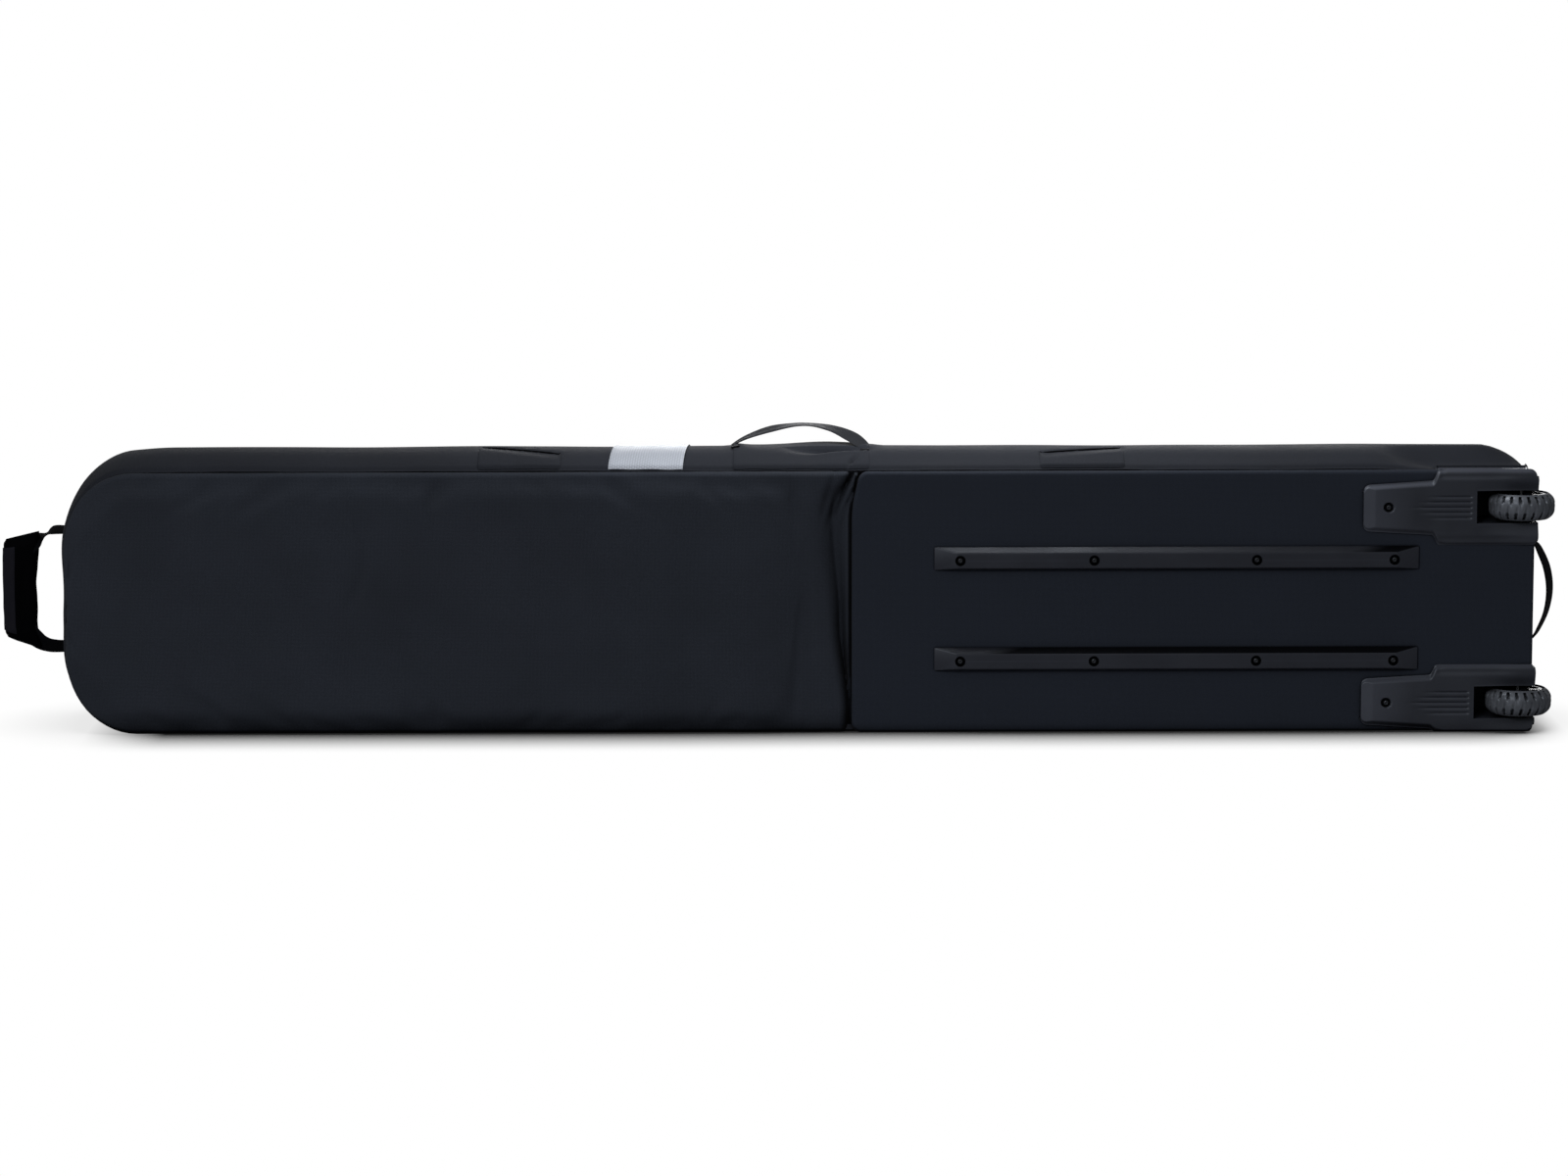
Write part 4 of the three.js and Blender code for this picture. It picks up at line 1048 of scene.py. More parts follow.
def make_coil(body, side):
    """Half of the coil: a row of teeth over the whole run of the zip, modelled as one ribbed strip."""
    near, far = LID_Y + side * 0.35 * MM, LID_Y + side * 3.8 * MM
    runs = [zip_run(part, near, far, 5, 0.0) for part in ZIP_PARTS]
    run = after_start(np.concatenate([runs[0], *(points[1:] for points in runs[1:])]))
    s = lengths(run)[:, 0]
    even = np.arange(0, s[-1], TOOTH_PITCH / 4)
    fine = np.stack([resample(even, s, run[:, j]) for j in range(run.shape[1])], 1)
    tooth = teeth(even, math.pi if side > 0 else 0)
    arch = np.sin(np.linspace(0.15, 0.85, 5) * math.pi)
    height = (0.25 + 0.75 * tooth[:, None]) * arch[None] * 1.4 * MM
    outer = fine - grid_normals(fine) * height[..., None]
    shell(f"zip_coil_{'body' if side < 0 else 'lid'}", outer[:, ::-1], 1.2 * MM, "coil", body)


def make_zip():
    for make in (make_tape, make_coil):
        make("bag", -1)
        make("lid", 1)


# ---- pocket on the lid

def make_pocket():
    low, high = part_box("pocket_panel")
    xs = np.linspace(low.x, high.x, 110)
    x, z = np.meshgrid(xs, np.linspace(low.z, high.z, 48), indexing="ij")
    corner = 26 * MM
    from_end = np.minimum(x - low.x, high.x - x)
    middle, half = (low.z + high.z) / 2, (high.z - low.z) / 2
    z = middle + (z - middle) * (1 - corner * round_off((corner - from_end) / corner) / half)
    edge = np.minimum(from_end, np.minimum(z - z[:, :1], z[:, -1:] - z))
    rise = (high.y - low.y - 2.5 * MM) * (1 - (1 - smooth(0, 60 * MM, edge)) ** 2)
    points = np.stack([x, low.y + 1.2 * MM + rise, z], -1)
    puckers = noise_at(points, (40, 0, 40), 4.4) * 0.8 * MM * np.exp(-edge / (14 * MM))
    wrinkles = noise_at(points, (9, 0, 15), 2.2) * 1.6 * MM + puckers
    points[..., 1] += wrinkles * smooth(0, 12 * MM, edge)
    points[..., 1] = np.minimum(points[..., 1], CAD_HIGH.y + 2 * MM)
    shell("pocket_cover", points[:, ::-1], 1.0 * MM, "tail", "lid", ["pocket_panel"])
    for label, seam_z, row in (("low", low.z + 5 * MM, 2), ("high", high.z - 5 * MM, -3)):
        seam_x = np.linspace(low.x + corner, high.x - corner, 120)
        seam_y = np.interp(seam_x, xs, points[:, row, 1]) + 0.3 * MM
        path = np.stack([seam_x, seam_y, np.full_like(seam_x, seam_z)], 1)
        stitches(f"pocket_stitches_{label}", path, (0, 1, 0), 4 * MM, "lid")


def make_pocket_zip():
    low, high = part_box("pocket_zipper")
    middle = (low.z + high.z) / 2
    # half of the cross section, from the coil's split outwards: reach and height in mm
    half = [(0.25, 1.6), (1.4, 2.2), (2.6, 0.9), (3.2, 0.9), (6.5, 0.9), (8, 0.2)]
    reach, height = np.array([(-r, h) for r, h in reversed(half)] + half).T * MM
    x, z = np.meshgrid(np.arange(low.x, high.x, TOOTH_PITCH / 4), middle + reach, indexing="ij")
    tooth = 0.7 + 0.3 * teeth(x, np.where(z > middle, math.pi, 0))
    y = low.y + 0.6 * MM + height * np.where(np.abs(z - middle) < 2.7 * MM, tooth, 1.0)
    points = np.stack([x, y, z], -1)
    shell("pocket_zip", points[:, ::-1], 0.6 * MM, "tape", "lid", ["pocket_zipper"])


# ---- handles

def make_side_handle():
    low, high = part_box("side_handle")
    base = JOINT["side_handle_swing"]["pos_m"][2]
    rise = high.z - base - MM
    span, middle = (high.x - low.x) / 2, (high.x + low.x) / 2
    # along the arch: share of the half span, depth in mm, share of the rise, width in mm, turn in degrees
    shape = [
        (-1.12, -20, -0.62, 8, 2),
        (-1.04, -15, -0.26, 12, 3),
        (-0.82, -8, 0.22, 20, 7),
        (-0.46, -2, 0.70, 25, 11),
        (-0.10, 0, 0.97, 25, 3),
        (0.16, 0, 0.98, 25, 2),
        (0.40, -3, 0.82, 25, 10),
        (0.62, -8, 0.54, 25, 18),
        (0.80, -17, 0.18, 23, 24),
        (0.95, -28, -0.26, 17, 25),
        (1.03, -38, -0.62, 9, 22),
    ]
    rows = [(middle + a * span, y * MM, base + b * rise, w * MM, turn) for a, y, b, w, turn in shape]
    path = smooth_path(rows, 100)
    turn = np.radians(path[:, 4])
    across = np.stack([np.zeros(len(path)), -np.cos(turn), -np.sin(turn)], 1)
    sewn_to_swinging = ("bag", "side_handle", (middle, 0, base - 6 * MM), (middle, 0, base + 9 * MM))
    ribbon(
        "side_handle_webbing", path[:, :3], across, path[:, 3], WEBBING,
        "handle", sewn_to_swinging, ["side_handle"], cup=0.7 * MM,
    )
    # the folded ends of the webbing, sewn down on the gusset
    feet = (("nose", low.x + 5 * MM, -33 * MM, -1), ("tail", high.x - 7 * MM, -42 * MM, 1))
    for label, x, y, outward in feet:
        xs = x + outward * np.linspace(0, 9 * MM, 12)
        points = top_surface(xs, np.full(12, y), 1.1 * MM + 1.6 * MM * np.linspace(1, 0, 12) ** 2)
        across, widths = repeated((0, 1, 0), 12), np.linspace(11 * MM, 13 * MM, 12)
        ribbon("side_handle_end_" + label, points, across, widths, 1.6 * MM, "webbing", "bag")


def make_nose_handle():
    pivot = JOINT["nose_handle_swing"]["pos_m"]
    grip_low, grip_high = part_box("nose_handle_grip")
    centre = (grip_low.x + grip_high.x) / 2 + 3.5 * MM
    top, bottom = grip_high.z, grip_low.z
    root = pivot[0] + 6 * MM
    # x, z, width in mm and twist in degrees. The webbing is edge-on at the bag and face-on inside the wrap.
    rows = [
        (root, top + 11 * MM, 22, 20),
        (root - 13 * MM, top + 10.5 * MM, 24, 18),
        (root - 21 * MM, top + 5.5 * MM, 25, 3),
        (root - 31 * MM, top - 1 * MM, 26, 38),
        (centre + 6 * MM, top - 10 * MM, 26, 72),
        (centre, top - 28 * MM, 26, 90),
        (centre, (top + bottom) / 2, 26, 90),
        (centre, bottom + 26 * MM, 26, 90),
        (centre + 5 * MM, bottom + 6 * MM, 26, 72),
        (root - 33 * MM, bottom - 8 * MM, 26, 58),
        (root - 22 * MM, bottom - 13.5 * MM, 25, 50),
        (root - 11 * MM, bottom - 15 * MM, 24, 46),
        (root, bottom - 15 * MM, 22, 46),
    ]
    path = smooth_path([(x, 0, z, w * MM, t) for x, z, w, t in rows], 140)
    turn = np.radians(path[:, 4])
    depth = repeated((0, 1, 0), len(path))
    in_plane = np.cross(depth, unit(np.gradient(path[:, :3], axis=0)))
    across = depth * np.cos(turn)[:, None] + in_plane * np.sin(turn)[:, None]
    ribbon(
        "nose_handle_strap", path[:, :3], across, path[:, 3], WEBBING,
        "webbing", "nose_handle", ["nose_handle_webbing"],
    )
    rings, around = wrap_rings(centre, bottom - 10 * MM, top + 4 * MM)
    ring_loft("nose_handle_wrap", rings, "grip", "nose_handle", ["nose_handle_grip"], 60)
    make_wrap_binding(rings, around)


def wrap_rings(centre, bottom, top):
    """Sections of the padded wrap. Its two ends are cut aslant, higher and lower towards the bag."""
    around = np.linspace(0, 2 * math.pi, 64, endpoint=False)
    c, s = np.cos(around), np.sin(around)
    half = 18.5 * MM
    rings = []
    for z in np.linspace(bottom, top, 70):
        above, below = top - z, z - bottom
        end = min(above, below)
        # thinner near its ends, and pressed shut at them
        thin = (0.62 + 0.38 * smooth(0, 14 * MM, end)) * 8.5 * MM
        shut = 0.45 + 0.55 * smooth(0, 2.5 * MM, end)
        lean = 4.0 * MM * smooth(60 * MM, 0, above) + 4.5 * MM * smooth(24 * MM, 0, below)
        x = np.sign(c) * np.abs(c) ** 0.8 * (half + lean / 2) + lean / 2
        corner = 3 * MM * (1 - smooth(0, 5 * MM, end))
        x = np.where(x < 0, x * (1 - corner / half), x)
        y = np.sign(s) * np.abs(s) ** 0.85 * thin * shut
        ridge = np.exp(-(((x + 6 * MM) / (7 * MM)) ** 2)) * (s < 0)
        y = y - ridge * thin * 3.2 / 8.5
        slope = 0.24 * smooth(34 * MM, 0, above) - 0.36 * smooth(34 * MM, 0, below)
        rings.append(np.stack([centre + x, y, z + slope * x], 1))
    rings = np.stack(rings)
    wrinkles = noise_at(rings, (60, 60, 24), 1.1) * 1.3 * MM + noise_at(rings, (130, 130, 70), 6.1) * 0.5 * MM
    return rings + unit(rings - rings.mean(1, keepdims=True)) * wrinkles[..., None], around


def make_wrap_binding(rings, around):
    """The wrap's free edge: a strip of cloth lapped over its outer side, its lighter colour also painting the
    light on the side that faces the lamp.
    """
    lapped = np.flatnonzero((around > math.radians(130)) & (around < math.radians(262)))
    strip = rings[5:-6, lapped]
    normal = grid_normals(strip)
    middle = rings[5:-6].mean(1, keepdims=True)
    normal *= np.sign(((strip - middle) * normal).sum(-1, keepdims=True).mean())
    edge = np.minimum(np.arange(len(lapped)), np.arange(len(lapped))[::-1]) / 3
    lift = (0.2 + 0.9 * smooth(0, 1, edge)) * MM
    outer = strip + normal * lift[None, :, None]
    if ((grid_normals(outer) - normal) ** 2).sum() > 1:
        outer = outer[:, ::-1]
    shell("nose_handle_binding", outer, 1.0 * MM, "binding", "nose_handle")


def make_tail_handle():
    pivot = JOINT["tail_handle_swing"]["pos_m"]
    low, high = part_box("tail_handle")
    half = (high.z - low.z) / 2
    reach = high.x - pivot[0]
    # along the loop's upper half: share of the reach, share of the half height, width in mm
    upper = [(-0.25, 1.02, 12), (0.15, 0.85, 20), (0.72, 0.45, 24)]
    shape = [*upper, (0.93, 0.0, 25), *((a, -b, w) for a, b, w in reversed(upper))]
    rows = [(pivot[0] + a * reach, 0, pivot[2] + b * half, w * MM) for a, b, w in shape]
    path = smooth_path(rows, 60)
    twist = np.radians(np.linspace(31, 24, len(path)))
    across = np.stack([np.sin(twist), np.cos(twist), np.zeros(len(path))], 1)
    ribbon(
        "tail_handle_webbing", path[:, :3], across, path[:, 3], WEBBING,
        "webbing", "tail_handle", ["tail_handle"],
    )


# ---- wheel housings

WELL_FLOOR = HOUSING_HIGH.y - 8 * MM
TONGUE_END = HOUSING_LOW.x + 83 * MM
EDGE_ROLL = 2.2 * MM
WING_OVER = 3.6 * MM
WING_CORNER = 11 * MM
GUARD_SIDE_Y = -60 * MM
GUARD_TAIL_Y = HOUSING_HIGH.y


def housing_bounds(x, edge, inner):
    """Reach of the plate's two edges from the wheel's centre line, at each x, before its rolled edge."""
    start, end = HOUSING_LOW.x + EDGE_ROLL, HOUSING_HIGH.x - EDGE_ROLL
    tip, corner, small = 7 * MM, WING_CORNER - EDGE_ROLL, 4 * MM
    round_tip = tip * round_off((start + tip - x) / tip)
    round_outer = corner * round_off((x - end + corner) / corner)
    round_inner = small * round_off((x - end + small) / small)
    along = np.clip((x - start) / (TONGUE_END - start), 0, 1)
    step = smooth(TONGUE_END - 4 * MM, TONGUE_END + 4 * MM, x)
    outer_tongue = (25 + 5.2 * along) * MM
    inner_tongue = (27 + 4.6 * along) * MM
    high = outer_tongue + (edge + WING_OVER - EDGE_ROLL - outer_tongue) * step - round_tip - round_outer
    low = inner_tongue + (inner + WING_OVER - EDGE_ROLL - inner_tongue) * step - round_tip - round_inner
    return -low, high


def housing_height(x, r, low, high):
    """Height of the plate over the fabric: bevelled tongue, tapered grooves, scoops beside the wheel."""
    full = 5.6 * MM
    out = np.abs(r)
    wing = smooth(TONGUE_END, TONGUE_END + 14 * MM, x)
    bevel_side = smooth(0, (6.5 - 2.5 * wing) * MM, np.minimum(high - r, r - low))
    bevel_tip = np.clip((x - HOUSING_LOW.x) / (15 * MM), 0, 1)
    h = full * (0.30 + 0.70 * np.minimum(bevel_side, 0.25 + 0.75 * bevel_tip))
    shoulder = smooth(31 * MM, 35 * MM, out) * smooth(TONGUE_END - 2 * MM, TONGUE_END + 8 * MM, x)
    h = h - 1.5 * MM * shoulder * (1 - smooth(780 * MM, 820 * MM, x))
    for k in range(-2, 3):
        start = (680 + 9 * abs(k)) * MM
        ends = smooth(start, start + 26 * MM, x) * (1 - smooth(WELL_START - 8 * MM, WELL_START - 4 * MM, x))
        h = h - 1.5 * MM * ends * np.exp(-(((r - k * 6 * MM) / (0.95 * MM)) ** 2))
    scoop = smooth(WELL_START - 6 * MM, WELL_START + 40 * MM, x)
    h = h - 4.0 * MM * scoop * (1 - smooth(WELL_HALF, WELL_HALF + 15 * MM, out))
    screw = np.hypot(x - (HOUSING_LOW.x + 30 * MM), r)
    return h - 3.2 * MM * (1 - smooth(4.9 * MM, 5.9 * MM, screw))


def make_housing(label, side):
    wheel = JOINT[f"wheel_{label}_spin"]["pos_m"]
    below, above = (abs(corner.z - wheel[2]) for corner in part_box("housing_" + label))
    edge, inner = (above, below) if side > 0 else (below, above)
    base_y = BACK_Y - 0.3 * MM
    corner = WING_CORNER - EDGE_ROLL
    end = HOUSING_HIGH.x - EDGE_ROLL
    xs = np.concatenate(
        [
            HOUSING_LOW.x + EDGE_ROLL + 7 * MM * (1 - np.cos(np.linspace(0, math.pi / 2, 9))),
            np.arange(HOUSING_LOW.x + EDGE_ROLL + 8 * MM, WELL_START - 0.5 * MM, 1.15 * MM),
            [WELL_START],
            np.arange(WELL_START + 1.5 * MM, end - corner - 0.5 * MM, 1.8 * MM),
            end - corner + corner * np.sin(np.linspace(0, math.pi / 2, 14)),
        ]
    )
    low, high = housing_bounds(xs, edge, inner)
    t = np.linspace(0, 1, 17)
    r = np.concatenate(
        [
            low[:, None] + (-WELL_HALF - low)[:, None] * t[None],
            repeated(np.linspace(-WELL_HALF, WELL_HALF, 45)[1:-1], len(xs)),
            WELL_HALF + (high - WELL_HALF)[:, None] * t[None],
        ],
        axis=1,
    )
    x = np.broadcast_to(xs[:, None], r.shape)
    height = housing_height(x, r, low[:, None], high[:, None])

    def place(px, pr, py):
        return np.stack([px, py, wheel[2] + side * pr], -1)

    top = place(x, r, base_y - height)
    rows, columns = r.shape
    well_row = int(np.argmin(np.abs(xs - WELL_START)))
    well_low, well_high = 16, columns - 17
    number = numbered(rows, columns)
    solid = np.ones((rows - 1, columns - 1), bool)
    solid[well_row:, well_low:well_high] = False
    faces = list(grid_faces(rows, columns)[solid.ravel()])
    verts = [top.reshape(-1, 3)]
    count = rows * columns

    def strip(path, *levels):
        """Adds walls from a row of existing points through rows of new ones."""
        nonlocal count
        previous = np.asarray(path)
        for level in levels:
            verts.append(level)
            current = count + np.arange(len(level))
            count += len(level)
            for a, b, c, d in zip(previous, previous[1:], current[1:], current):
                faces.append((a, b, c, d))
            previous = current

    # the plate's rim: round the tongue and the corner, open where the wheel stands out of the tail
    start, finish = number[-1, well_low::-1], number[-1, -2 : well_high - columns - 1 : -1]
    rim = np.concatenate([start, number[-2::-1, 0], number[0, 1:], number[1:, -1], finish])
    flat = np.stack([x.ravel()[rim], r.ravel()[rim]], 1)
    tangent = np.gradient(flat, axis=0)
    normal = unit(np.stack([tangent[:, 1], -tangent[:, 0]], 1))
    normal[np.abs(flat[:, 0] - end) < 1e-6] = [1.0, 0.0]
    y_top = base_y - height.ravel()[rim]
    # how deep the guard wraps: onto the fabric along the tongue, further on the long side, most on the tail
    on_tail = smooth(end - corner, end - 0.3 * corner, flat[:, 0])
    outer_side = smooth(TONGUE_END - 2 * MM, TONGUE_END + 5 * MM, flat[:, 0]) * (flat[:, 1] > 0)
    y_end = BACK_Y + MM + (GUARD_SIDE_Y - BACK_Y) * outer_side
    y_end = y_end + (GUARD_TAIL_Y - y_end) * on_tail
    levels = []
    for a in np.radians([22, 45, 67, 90]):
        p = flat + normal * EDGE_ROLL * math.sin(a)
        levels.append(place(p[:, 0], p[:, 1], y_top + EDGE_ROLL * (1 - math.cos(a))))
    p = flat + normal * EDGE_ROLL
    wall_top = y_top + EDGE_ROLL
    for share in np.linspace(0.08, 1, 12):
        y = wall_top + (y_end - wall_top) * share
        # the upper guard follows the crown of the top gusset part of the way
        follow = outer_side * (1 - on_tail) * smooth(BACK_Y, BACK_Y + 20 * MM, y) * (side > 0)
        rise = 0.30 * crown(p[:, 0], y) * follow
        lip = 0.7 * MM * smooth(0.9, 1.0, share) * outer_side
        levels.append(place(p[:, 0] + normal[:, 0] * lip, p[:, 1] + normal[:, 1] * lip + rise, y))
    inward = p - normal * 2.5 * MM
    levels.append(place(inward[:, 0], inward[:, 1] + rise, y_end + 0.2 * MM))
    strip(rim, *levels)

    # the well that the wheel turns in
    low_wall, high_wall = number[well_row:, well_low][::-1], number[well_row:, well_high]
    mouth = np.concatenate([low_wall, number[well_row, well_low + 1 : well_high], high_wall])
    mx, mr = x.ravel()[mouth], r.ravel()[mouth]
    my = base_y - height.ravel()[mouth]
    rounded = place(mx, mr, my + 1.0 * MM)
    floor = place(mx, mr, np.full_like(mx, WELL_FLOOR))
    strip(mouth, rounded, floor)
    # its floor, in strips from the low wall to the high one
    floor_row = np.arange(count - len(mouth), count)
    faces += zip(floor_row, floor_row[1 : len(low_wall)], floor_row[-2::-1], floor_row[::-1])
    verts = np.concatenate(verts)
    piece(f"housing_{label}_moulding", verts, faces, None, "moulding", "bag", ["housing_" + label], sharp=50)


# ---- wheels, runners, screws

LUGS = 22


def make_wheel(label):
    body = "wheel_" + label
    place = JOINT[f"wheel_{label}_spin"]["pos_m"]
    low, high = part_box("tyre_" + label)
    # the tread's shoulders stand a little inside the tyre's box
    radius, half = (high.x - low.x) / 2 - MM, (high.z - low.z) / 2 - 1.6 * MM
    bore = 27.4 * MM
    profile = []
    for a in np.linspace(-math.pi / 2, math.pi / 2, 27):
        z = half * math.copysign(abs(math.sin(a)) ** 0.8, math.sin(a))
        profile.append((radius - 7.5 * MM * (abs(z) / half) ** 3.2, z))
    profile += [(bore + 2 * MM, half - MM), (bore, half - 2.5 * MM)]
    profile += [(bore, -half + 2.5 * MM), (bore + 2 * MM, -half + MM)]

    def tread(angle, r, h):
        """Shoulder lugs with deep notches between them, and shallow slots over the middle."""
        on_tread = smooth(bore + 4 * MM, radius - 4 * MM, r)
        lean = 0.30 * np.abs(h) / half
        turn = np.mod(angle * LUGS / (2 * math.pi) + np.where(h > 0, 0.5, 0.0) + lean, 1.0)
        notch = 1 - smooth(0.10, 0.19, np.abs(turn - 0.5))
        outer = smooth(4.0 * MM, 7.5 * MM, np.abs(h))
        slot = 1 - smooth(0.05, 0.12, np.abs(turn - 0.5))
        groove = bump(3.4 * MM, 1.3 * MM, np.abs(h))
        return r - on_tread * (4.6 * MM * notch * outer + 0.7 * MM * slot * (1 - outer) + 0.7 * MM * groove)

    rings = turned(profile, 240, tread)
    turned_piece(f"tyre_{label}_tread", rings, place, "rubber", body, ["tyre_" + label], 50)

    low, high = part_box("hub_" + label)
    outer, half = (high.x - low.x) / 2, (high.z - low.z) / 2
    seat = 11.4 * MM
    section = [
        (7 * MM, -half + 10 * MM),
        (seat, -half + 10 * MM),
        (seat, -half + 1.2 * MM),
        (15 * MM, -half + 0.8 * MM),
        (17 * MM, -half + 4 * MM),
        (22 * MM, -half + 4 * MM),
        (24 * MM, -half),
        (outer - 0.6 * MM, -half),
        (outer, -half + 0.6 * MM),
    ]
    section += [(r, -h) for r, h in reversed(section)]
    rings = turned(section, 96)
    radius = np.hypot(rings[..., 0], rings[..., 1])
    ribs = np.cos(6 * np.arctan2(rings[..., 1], rings[..., 0])) > 0.5
    ribs &= (radius > 16.5 * MM) & (radius < 22.5 * MM)
    rings[..., 2] += np.where(ribs, np.sign(rings[..., 2]) * 3 * MM, 0)
    turned_piece(f"hub_{label}_moulding", rings, place, "hub", body, ["hub_" + label], 30)


AROUND = np.linspace(0, 2 * math.pi, 49)


def about_y(profile):
    """Rows of points about the Y axis from (radius, y) pairs. A radius may hold one number for each angle."""
    rows = [[r * np.cos(AROUND), np.full(len(AROUND), y), r * np.sin(AROUND)] for r, y in profile]
    return np.array(rows).transpose(0, 2, 1)


def make_screws():
    """Button heads with a hexagon socket, each in a near-black ring that paints the shade in its recess. A
    head's highest point lies at y = 0.
    """
    sixth = math.pi / 3
    hexagon = 1.75 / np.cos(np.mod(AROUND + sixth / 2, sixth) - sixth / 2)
    socket = [(hexagon * share, y) for share, y in ((0, 1.3), (0.78, 1.3), (0.8, 0.12), (0.92, 0.0))]
    button = [(2.0, 0.15), (2.4, 0.5), (2.6, 1.1), (2.7, 2.6), (2.0, 2.8), (2.0, 14.0), (0.0, 14.0)]
    head = about_y(socket + button) * MM
    # a ring round each head, down in its recess: painted shade
    shade_ring = about_y([(2.2, 2.0), (5.7, 2.0), (5.7, 3.0), (2.2, 3.0), (2.2, 2.0)]) * MM
    for name in sorted(frame["nodes"]):
        if "_screw_" not in name:
            continue
        low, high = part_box(name)
        place = ((low.x + high.x) / 2, low.y, (low.z + high.z) / 2)
        for end, rows, material, replaced in (("head", head, "screw", [name]), ("washer", shade_ring, "pit", [])):
            verts, faces = (rows + place).reshape(-1, 3), grid_faces(*rows.shape[:2])
            piece(f"{name}_{end}", verts, faces, None, material, "bag", replaced, 30)


def make_runner(label):
    low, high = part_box("rail_" + label)
    screw_low, screw_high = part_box(f"rail_screw_{label}_1")
    crown_z = (screw_low.z + screw_high.z) / 2
    base, foot, face = high.y, high.y - 2 * MM, low.y
    ramp = 25 * MM
    crown_half = 8.6 * MM
    levels = [
        (low.x, high.x, base, low.z, high.z),
        (low.x, high.x, foot, low.z, high.z),
        (low.x + ramp, high.x - ramp, face, crown_z - crown_half, crown_z + crown_half),
    ]
    work = bmesh.new()
    rows = []
    for x0, x1, y, z0, z1 in levels:
        rows.append([work.verts.new(p) for p in ((x0, y, z0), (x1, y, z0), (x1, y, z1), (x0, y, z1))])
    for a, b in zip(rows, rows[1:]):
        for k in range(4):
            work.faces.new((a[k], a[(k + 1) % 4], b[(k + 1) % 4], b[k]))
    work.faces.new(rows[0][::-1])
    work.faces.new(rows[2])
    bmesh.ops.recalc_face_normals(work, faces=work.faces)
    bmesh.ops.bevel(work, geom=list(work.edges), offset=0.9 * MM, segments=3, profile=0.6, affect="EDGES")
    mesh = bpy.data.meshes.new(f"rail_{label}_moulding")
    work.to_mesh(mesh)
    work.free()
    obj = link(bpy.data.objects.new(mesh.name, mesh))

    pits = bmesh.new()
    hole = {"radius1": 5.9 * MM, "radius2": 5.9 * MM, "depth": 2 * (4.2 + 1) * MM, "segments": 40}
    turn = Matrix.Rotation(math.radians(90), 4, "X")
    for k in range(1, 5):
        a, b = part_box(f"rail_screw_{label}_{k}")
        spot = Matrix.Translation(((a.x + b.x) / 2, face - 1 * MM, (a.z + b.z) / 2))
        bmesh.ops.create_cone(pits, cap_ends=True, matrix=spot @ turn, **hole)
    cut_away(obj, pits)
    obj.data.shade_smooth()
    obj.data.set_sharp_from_angle(angle=math.radians(30))
    belong(obj, "runner", "bag", ["rail_" + label])


# ---- CAD nodes that stay

def keep_node(name, material, bevel=0.0):
    obj = frame["nodes"][name]
    obj.data.materials.clear()
    obj.data.materials.append(MATERIAL[material])
    if bevel:
        change = obj.modifiers.new("edges", "BEVEL")
        change.width = bevel
        change.segments = 2
        change.limit_method = "ANGLE"
        change.angle_limit = math.radians(35)


def keep_nodes():
    for name in frame["nodes"]:
        if name.startswith(("axle_", "bearing_")):
            keep_node(name, "steel")
        elif name.startswith(("zipper_slider", "zipper_pull", "pocket_slider", "pocket_pull")):
            keep_node(name, "slider", 0.35 * MM)
        elif name == "stiffener_board" or name.startswith("rail_backing"):
            keep_node(name, "board", 0.4 * MM)
        elif name.startswith("lash_buckle"):
            keep_node(name, "hub")


def make_lash_straps():
    for end in ("nose", "tail"):
        node = "lash_strap_" + end
        low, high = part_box(node)
        z = np.linspace(low.z, high.z, 60)
        x, y = (low.x + high.x) / 2, (low.y + high.y) / 2
        path = np.stack([np.full_like(z, x), np.full_like(z, y), z], 1)
        across, widths = repeated((1, 0, 0), len(z)), np.full(len(z), high.x - low.x)
        ribbon(node + "_webbing", path, across, widths, 1.5 * MM, "webbing", "bag", [node])


# ---- floor, light and camera

CAMERA_TARGET = Vector((-16.6 * MM, BACK_Y, 165 * MM))
CAMERA_ELEVATION = 8.0
CAMERA_DISTANCE = 5.346
CAMERA_LENS = 109.4
CAMERA_ROLL = -0.165


def make_floor():
    """White to the camera, with a tight contact shadow. It is a dim grey to other rays, to bounce little."""
    bpy.ops.mesh.primitive_plane_add(size=40, location=(0, 0, 0))
    floor = bpy.context.object
    floor.name = "floor"
    s = Shader("floor")
    open_share = s.add("AmbientOcclusion", {"Distance": 0.14}, output=1, samples=32)
    lit = s.ramp(open_share, 0.485, 0.93, 0.02, 1.0)
    x, _, _ = s.axes("TexCoord", 3)
    # the shadow is faint under the rounded nose and past the wheels
    past_nose = s.ramp(x, -HALF_LENGTH + 20 * MM, -HALF_LENGTH + 110 * MM, 0.8, 0.0)
    past_wheels = s.ramp(x, HALF_LENGTH - 10 * MM, HALF_LENGTH + 40 * MM, 0.0, 0.8)
    faint = s.math("MAXIMUM", past_nose, past_wheels)
    lit = s.math("ADD", lit, s.math("MULTIPLY", faint, s.math("SUBTRACT", 1.0, lit)))
    camera_ray = s.add("LightPath", output=0)
    s.put(s.surface.inputs["Emission Color"], s.mix(lit, BLACK, WHITE))
    s.put(s.surface.inputs["Emission Strength"], camera_ray)
    s.finish(s.mix(camera_ray, (0.25, 0.25, 0.26, 1.0), BLACK), 0.9, Specular_IOR_Level=0.0)
    floor.data.materials.append(s.material)


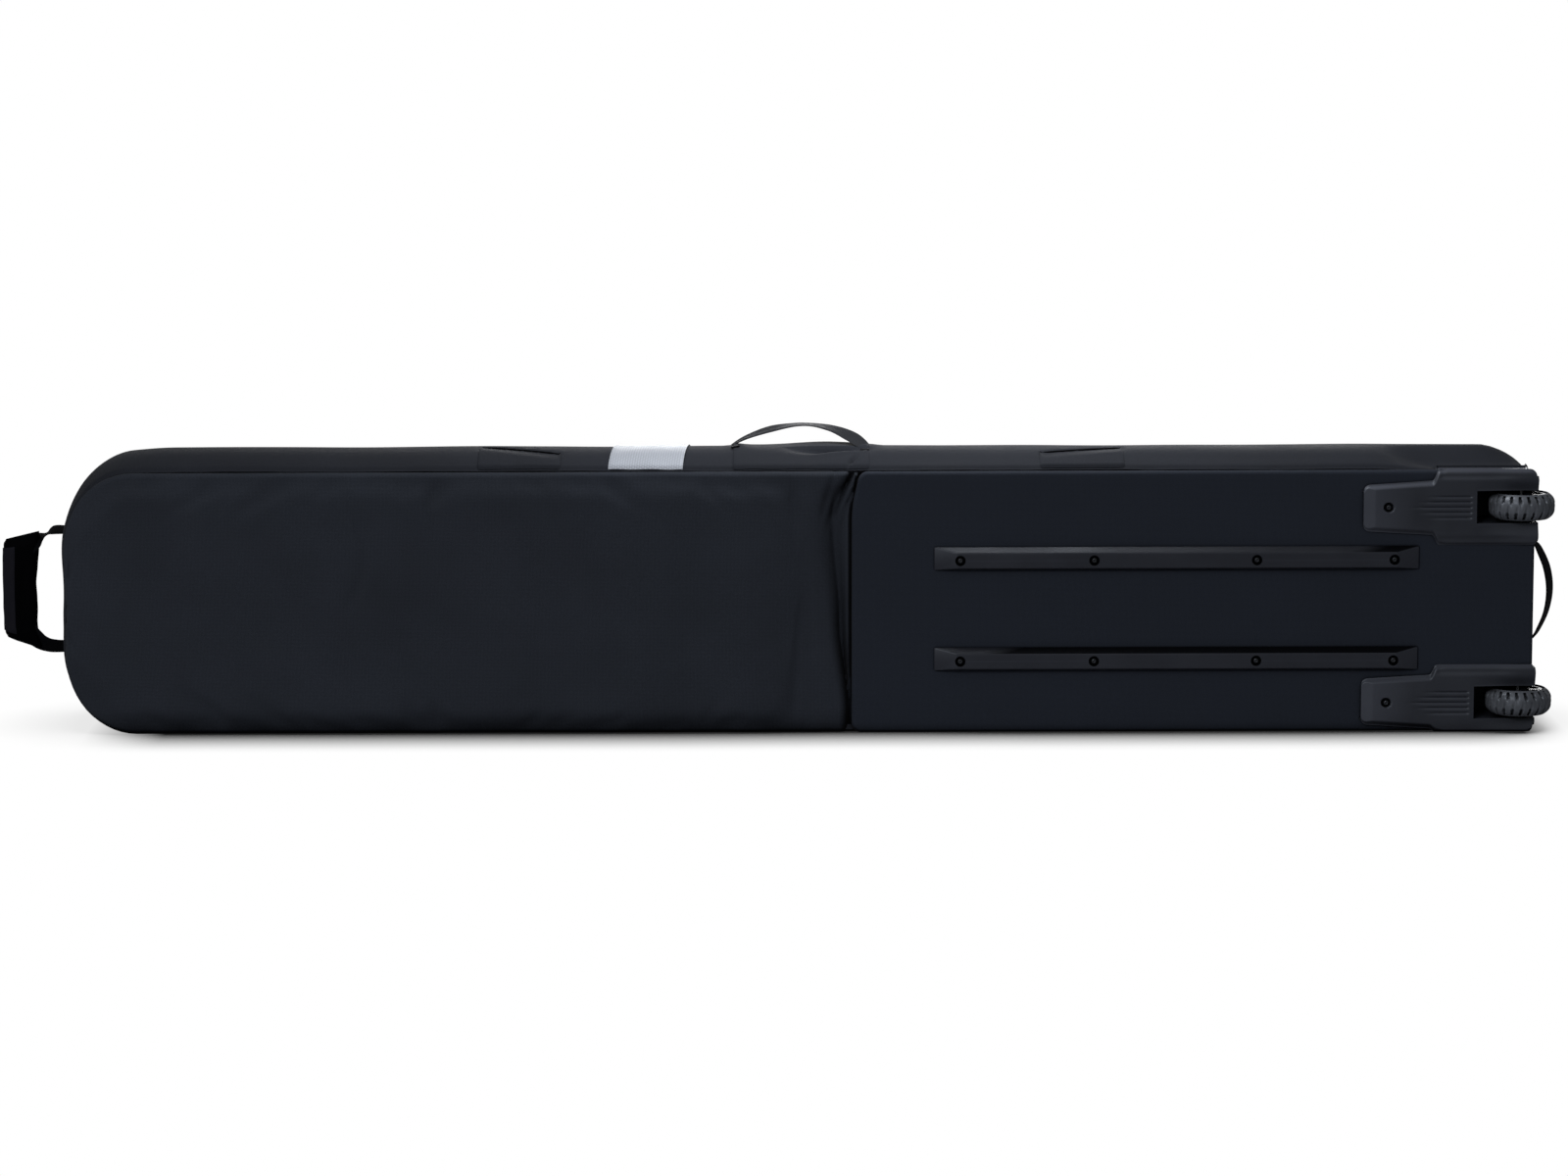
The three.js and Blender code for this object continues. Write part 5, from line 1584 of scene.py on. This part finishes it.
def make_world():
    """Plain white behind the bag, but a dimmer light from all round it."""
    world = bpy.context.scene.world or bpy.data.worlds.new("World")
    bpy.context.scene.world = world
    world.use_nodes = True
    tree = world.node_tree
    background = tree.nodes["Background"]
    background.inputs["Color"].default_value = WHITE
    path = tree.nodes.new("ShaderNodeLightPath")
    strength = tree.nodes.new("ShaderNodeMapRange")
    strength.inputs["To Min"].default_value = 0.20
    strength.inputs["To Max"].default_value = 1.0
    tree.links.new(path.outputs["Is Camera Ray"], strength.inputs["Value"])
    tree.links.new(strength.outputs[0], background.inputs["Strength"])


def softbox(name, place, target, size, power):
    light = bpy.data.lights.new(name, "AREA")
    light.shape = "RECTANGLE"
    light.size, light.size_y = size
    light.energy = power
    obj = link(bpy.data.objects.new(name, light))
    obj.location = place
    obj.visible_camera = False
    obj.rotation_euler = (Vector(target) - Vector(place)).to_track_quat("-Z", "Y").to_euler()


def make_stage():
    make_floor()
    make_world()
    softbox("key", (-2.6, -5.4, 3.0), (0, 0, 0.15), (3.0, 1.4), 160)
    softbox("top", (0.20, 0.0, 1.12), (0.20, 0.0, 0.3), (0.5, 0.3), 8.0)
    softbox("back", (0.6, 4.8, 1.3), (0, 0, 0.15), (2.4, 1.2), 70)


def make_camera():
    camera = link(bpy.data.objects.new("camera", bpy.data.cameras.new("camera")))
    up = math.radians(CAMERA_ELEVATION)
    back = Vector((0, -math.cos(up), math.sin(up)))
    camera.location = CAMERA_TARGET + back * CAMERA_DISTANCE
    turn = (-back).to_track_quat("-Z", "Y").to_matrix()
    roll = Matrix.Rotation(math.radians(CAMERA_ROLL), 3, "Z")
    camera.rotation_euler = (turn @ roll).to_euler()
    camera.data.lens = CAMERA_LENS
    camera.data.sensor_width = 36
    bpy.context.scene.camera = camera


# ---- assembly

make_panels()
make_gussets()
make_lid_gusset()
make_patches()
make_zip()
make_pocket()
make_pocket_zip()
make_side_handle()
make_nose_handle()
make_tail_handle()
for side_name, side_sign in SIDES.items():
    make_housing(side_name, side_sign)
    make_wheel(side_name)
    make_runner(side_name)
make_screws()
make_lash_straps()
keep_nodes()
make_stage()
make_camera()
bpy.context.scene.view_settings.view_transform = "Standard"
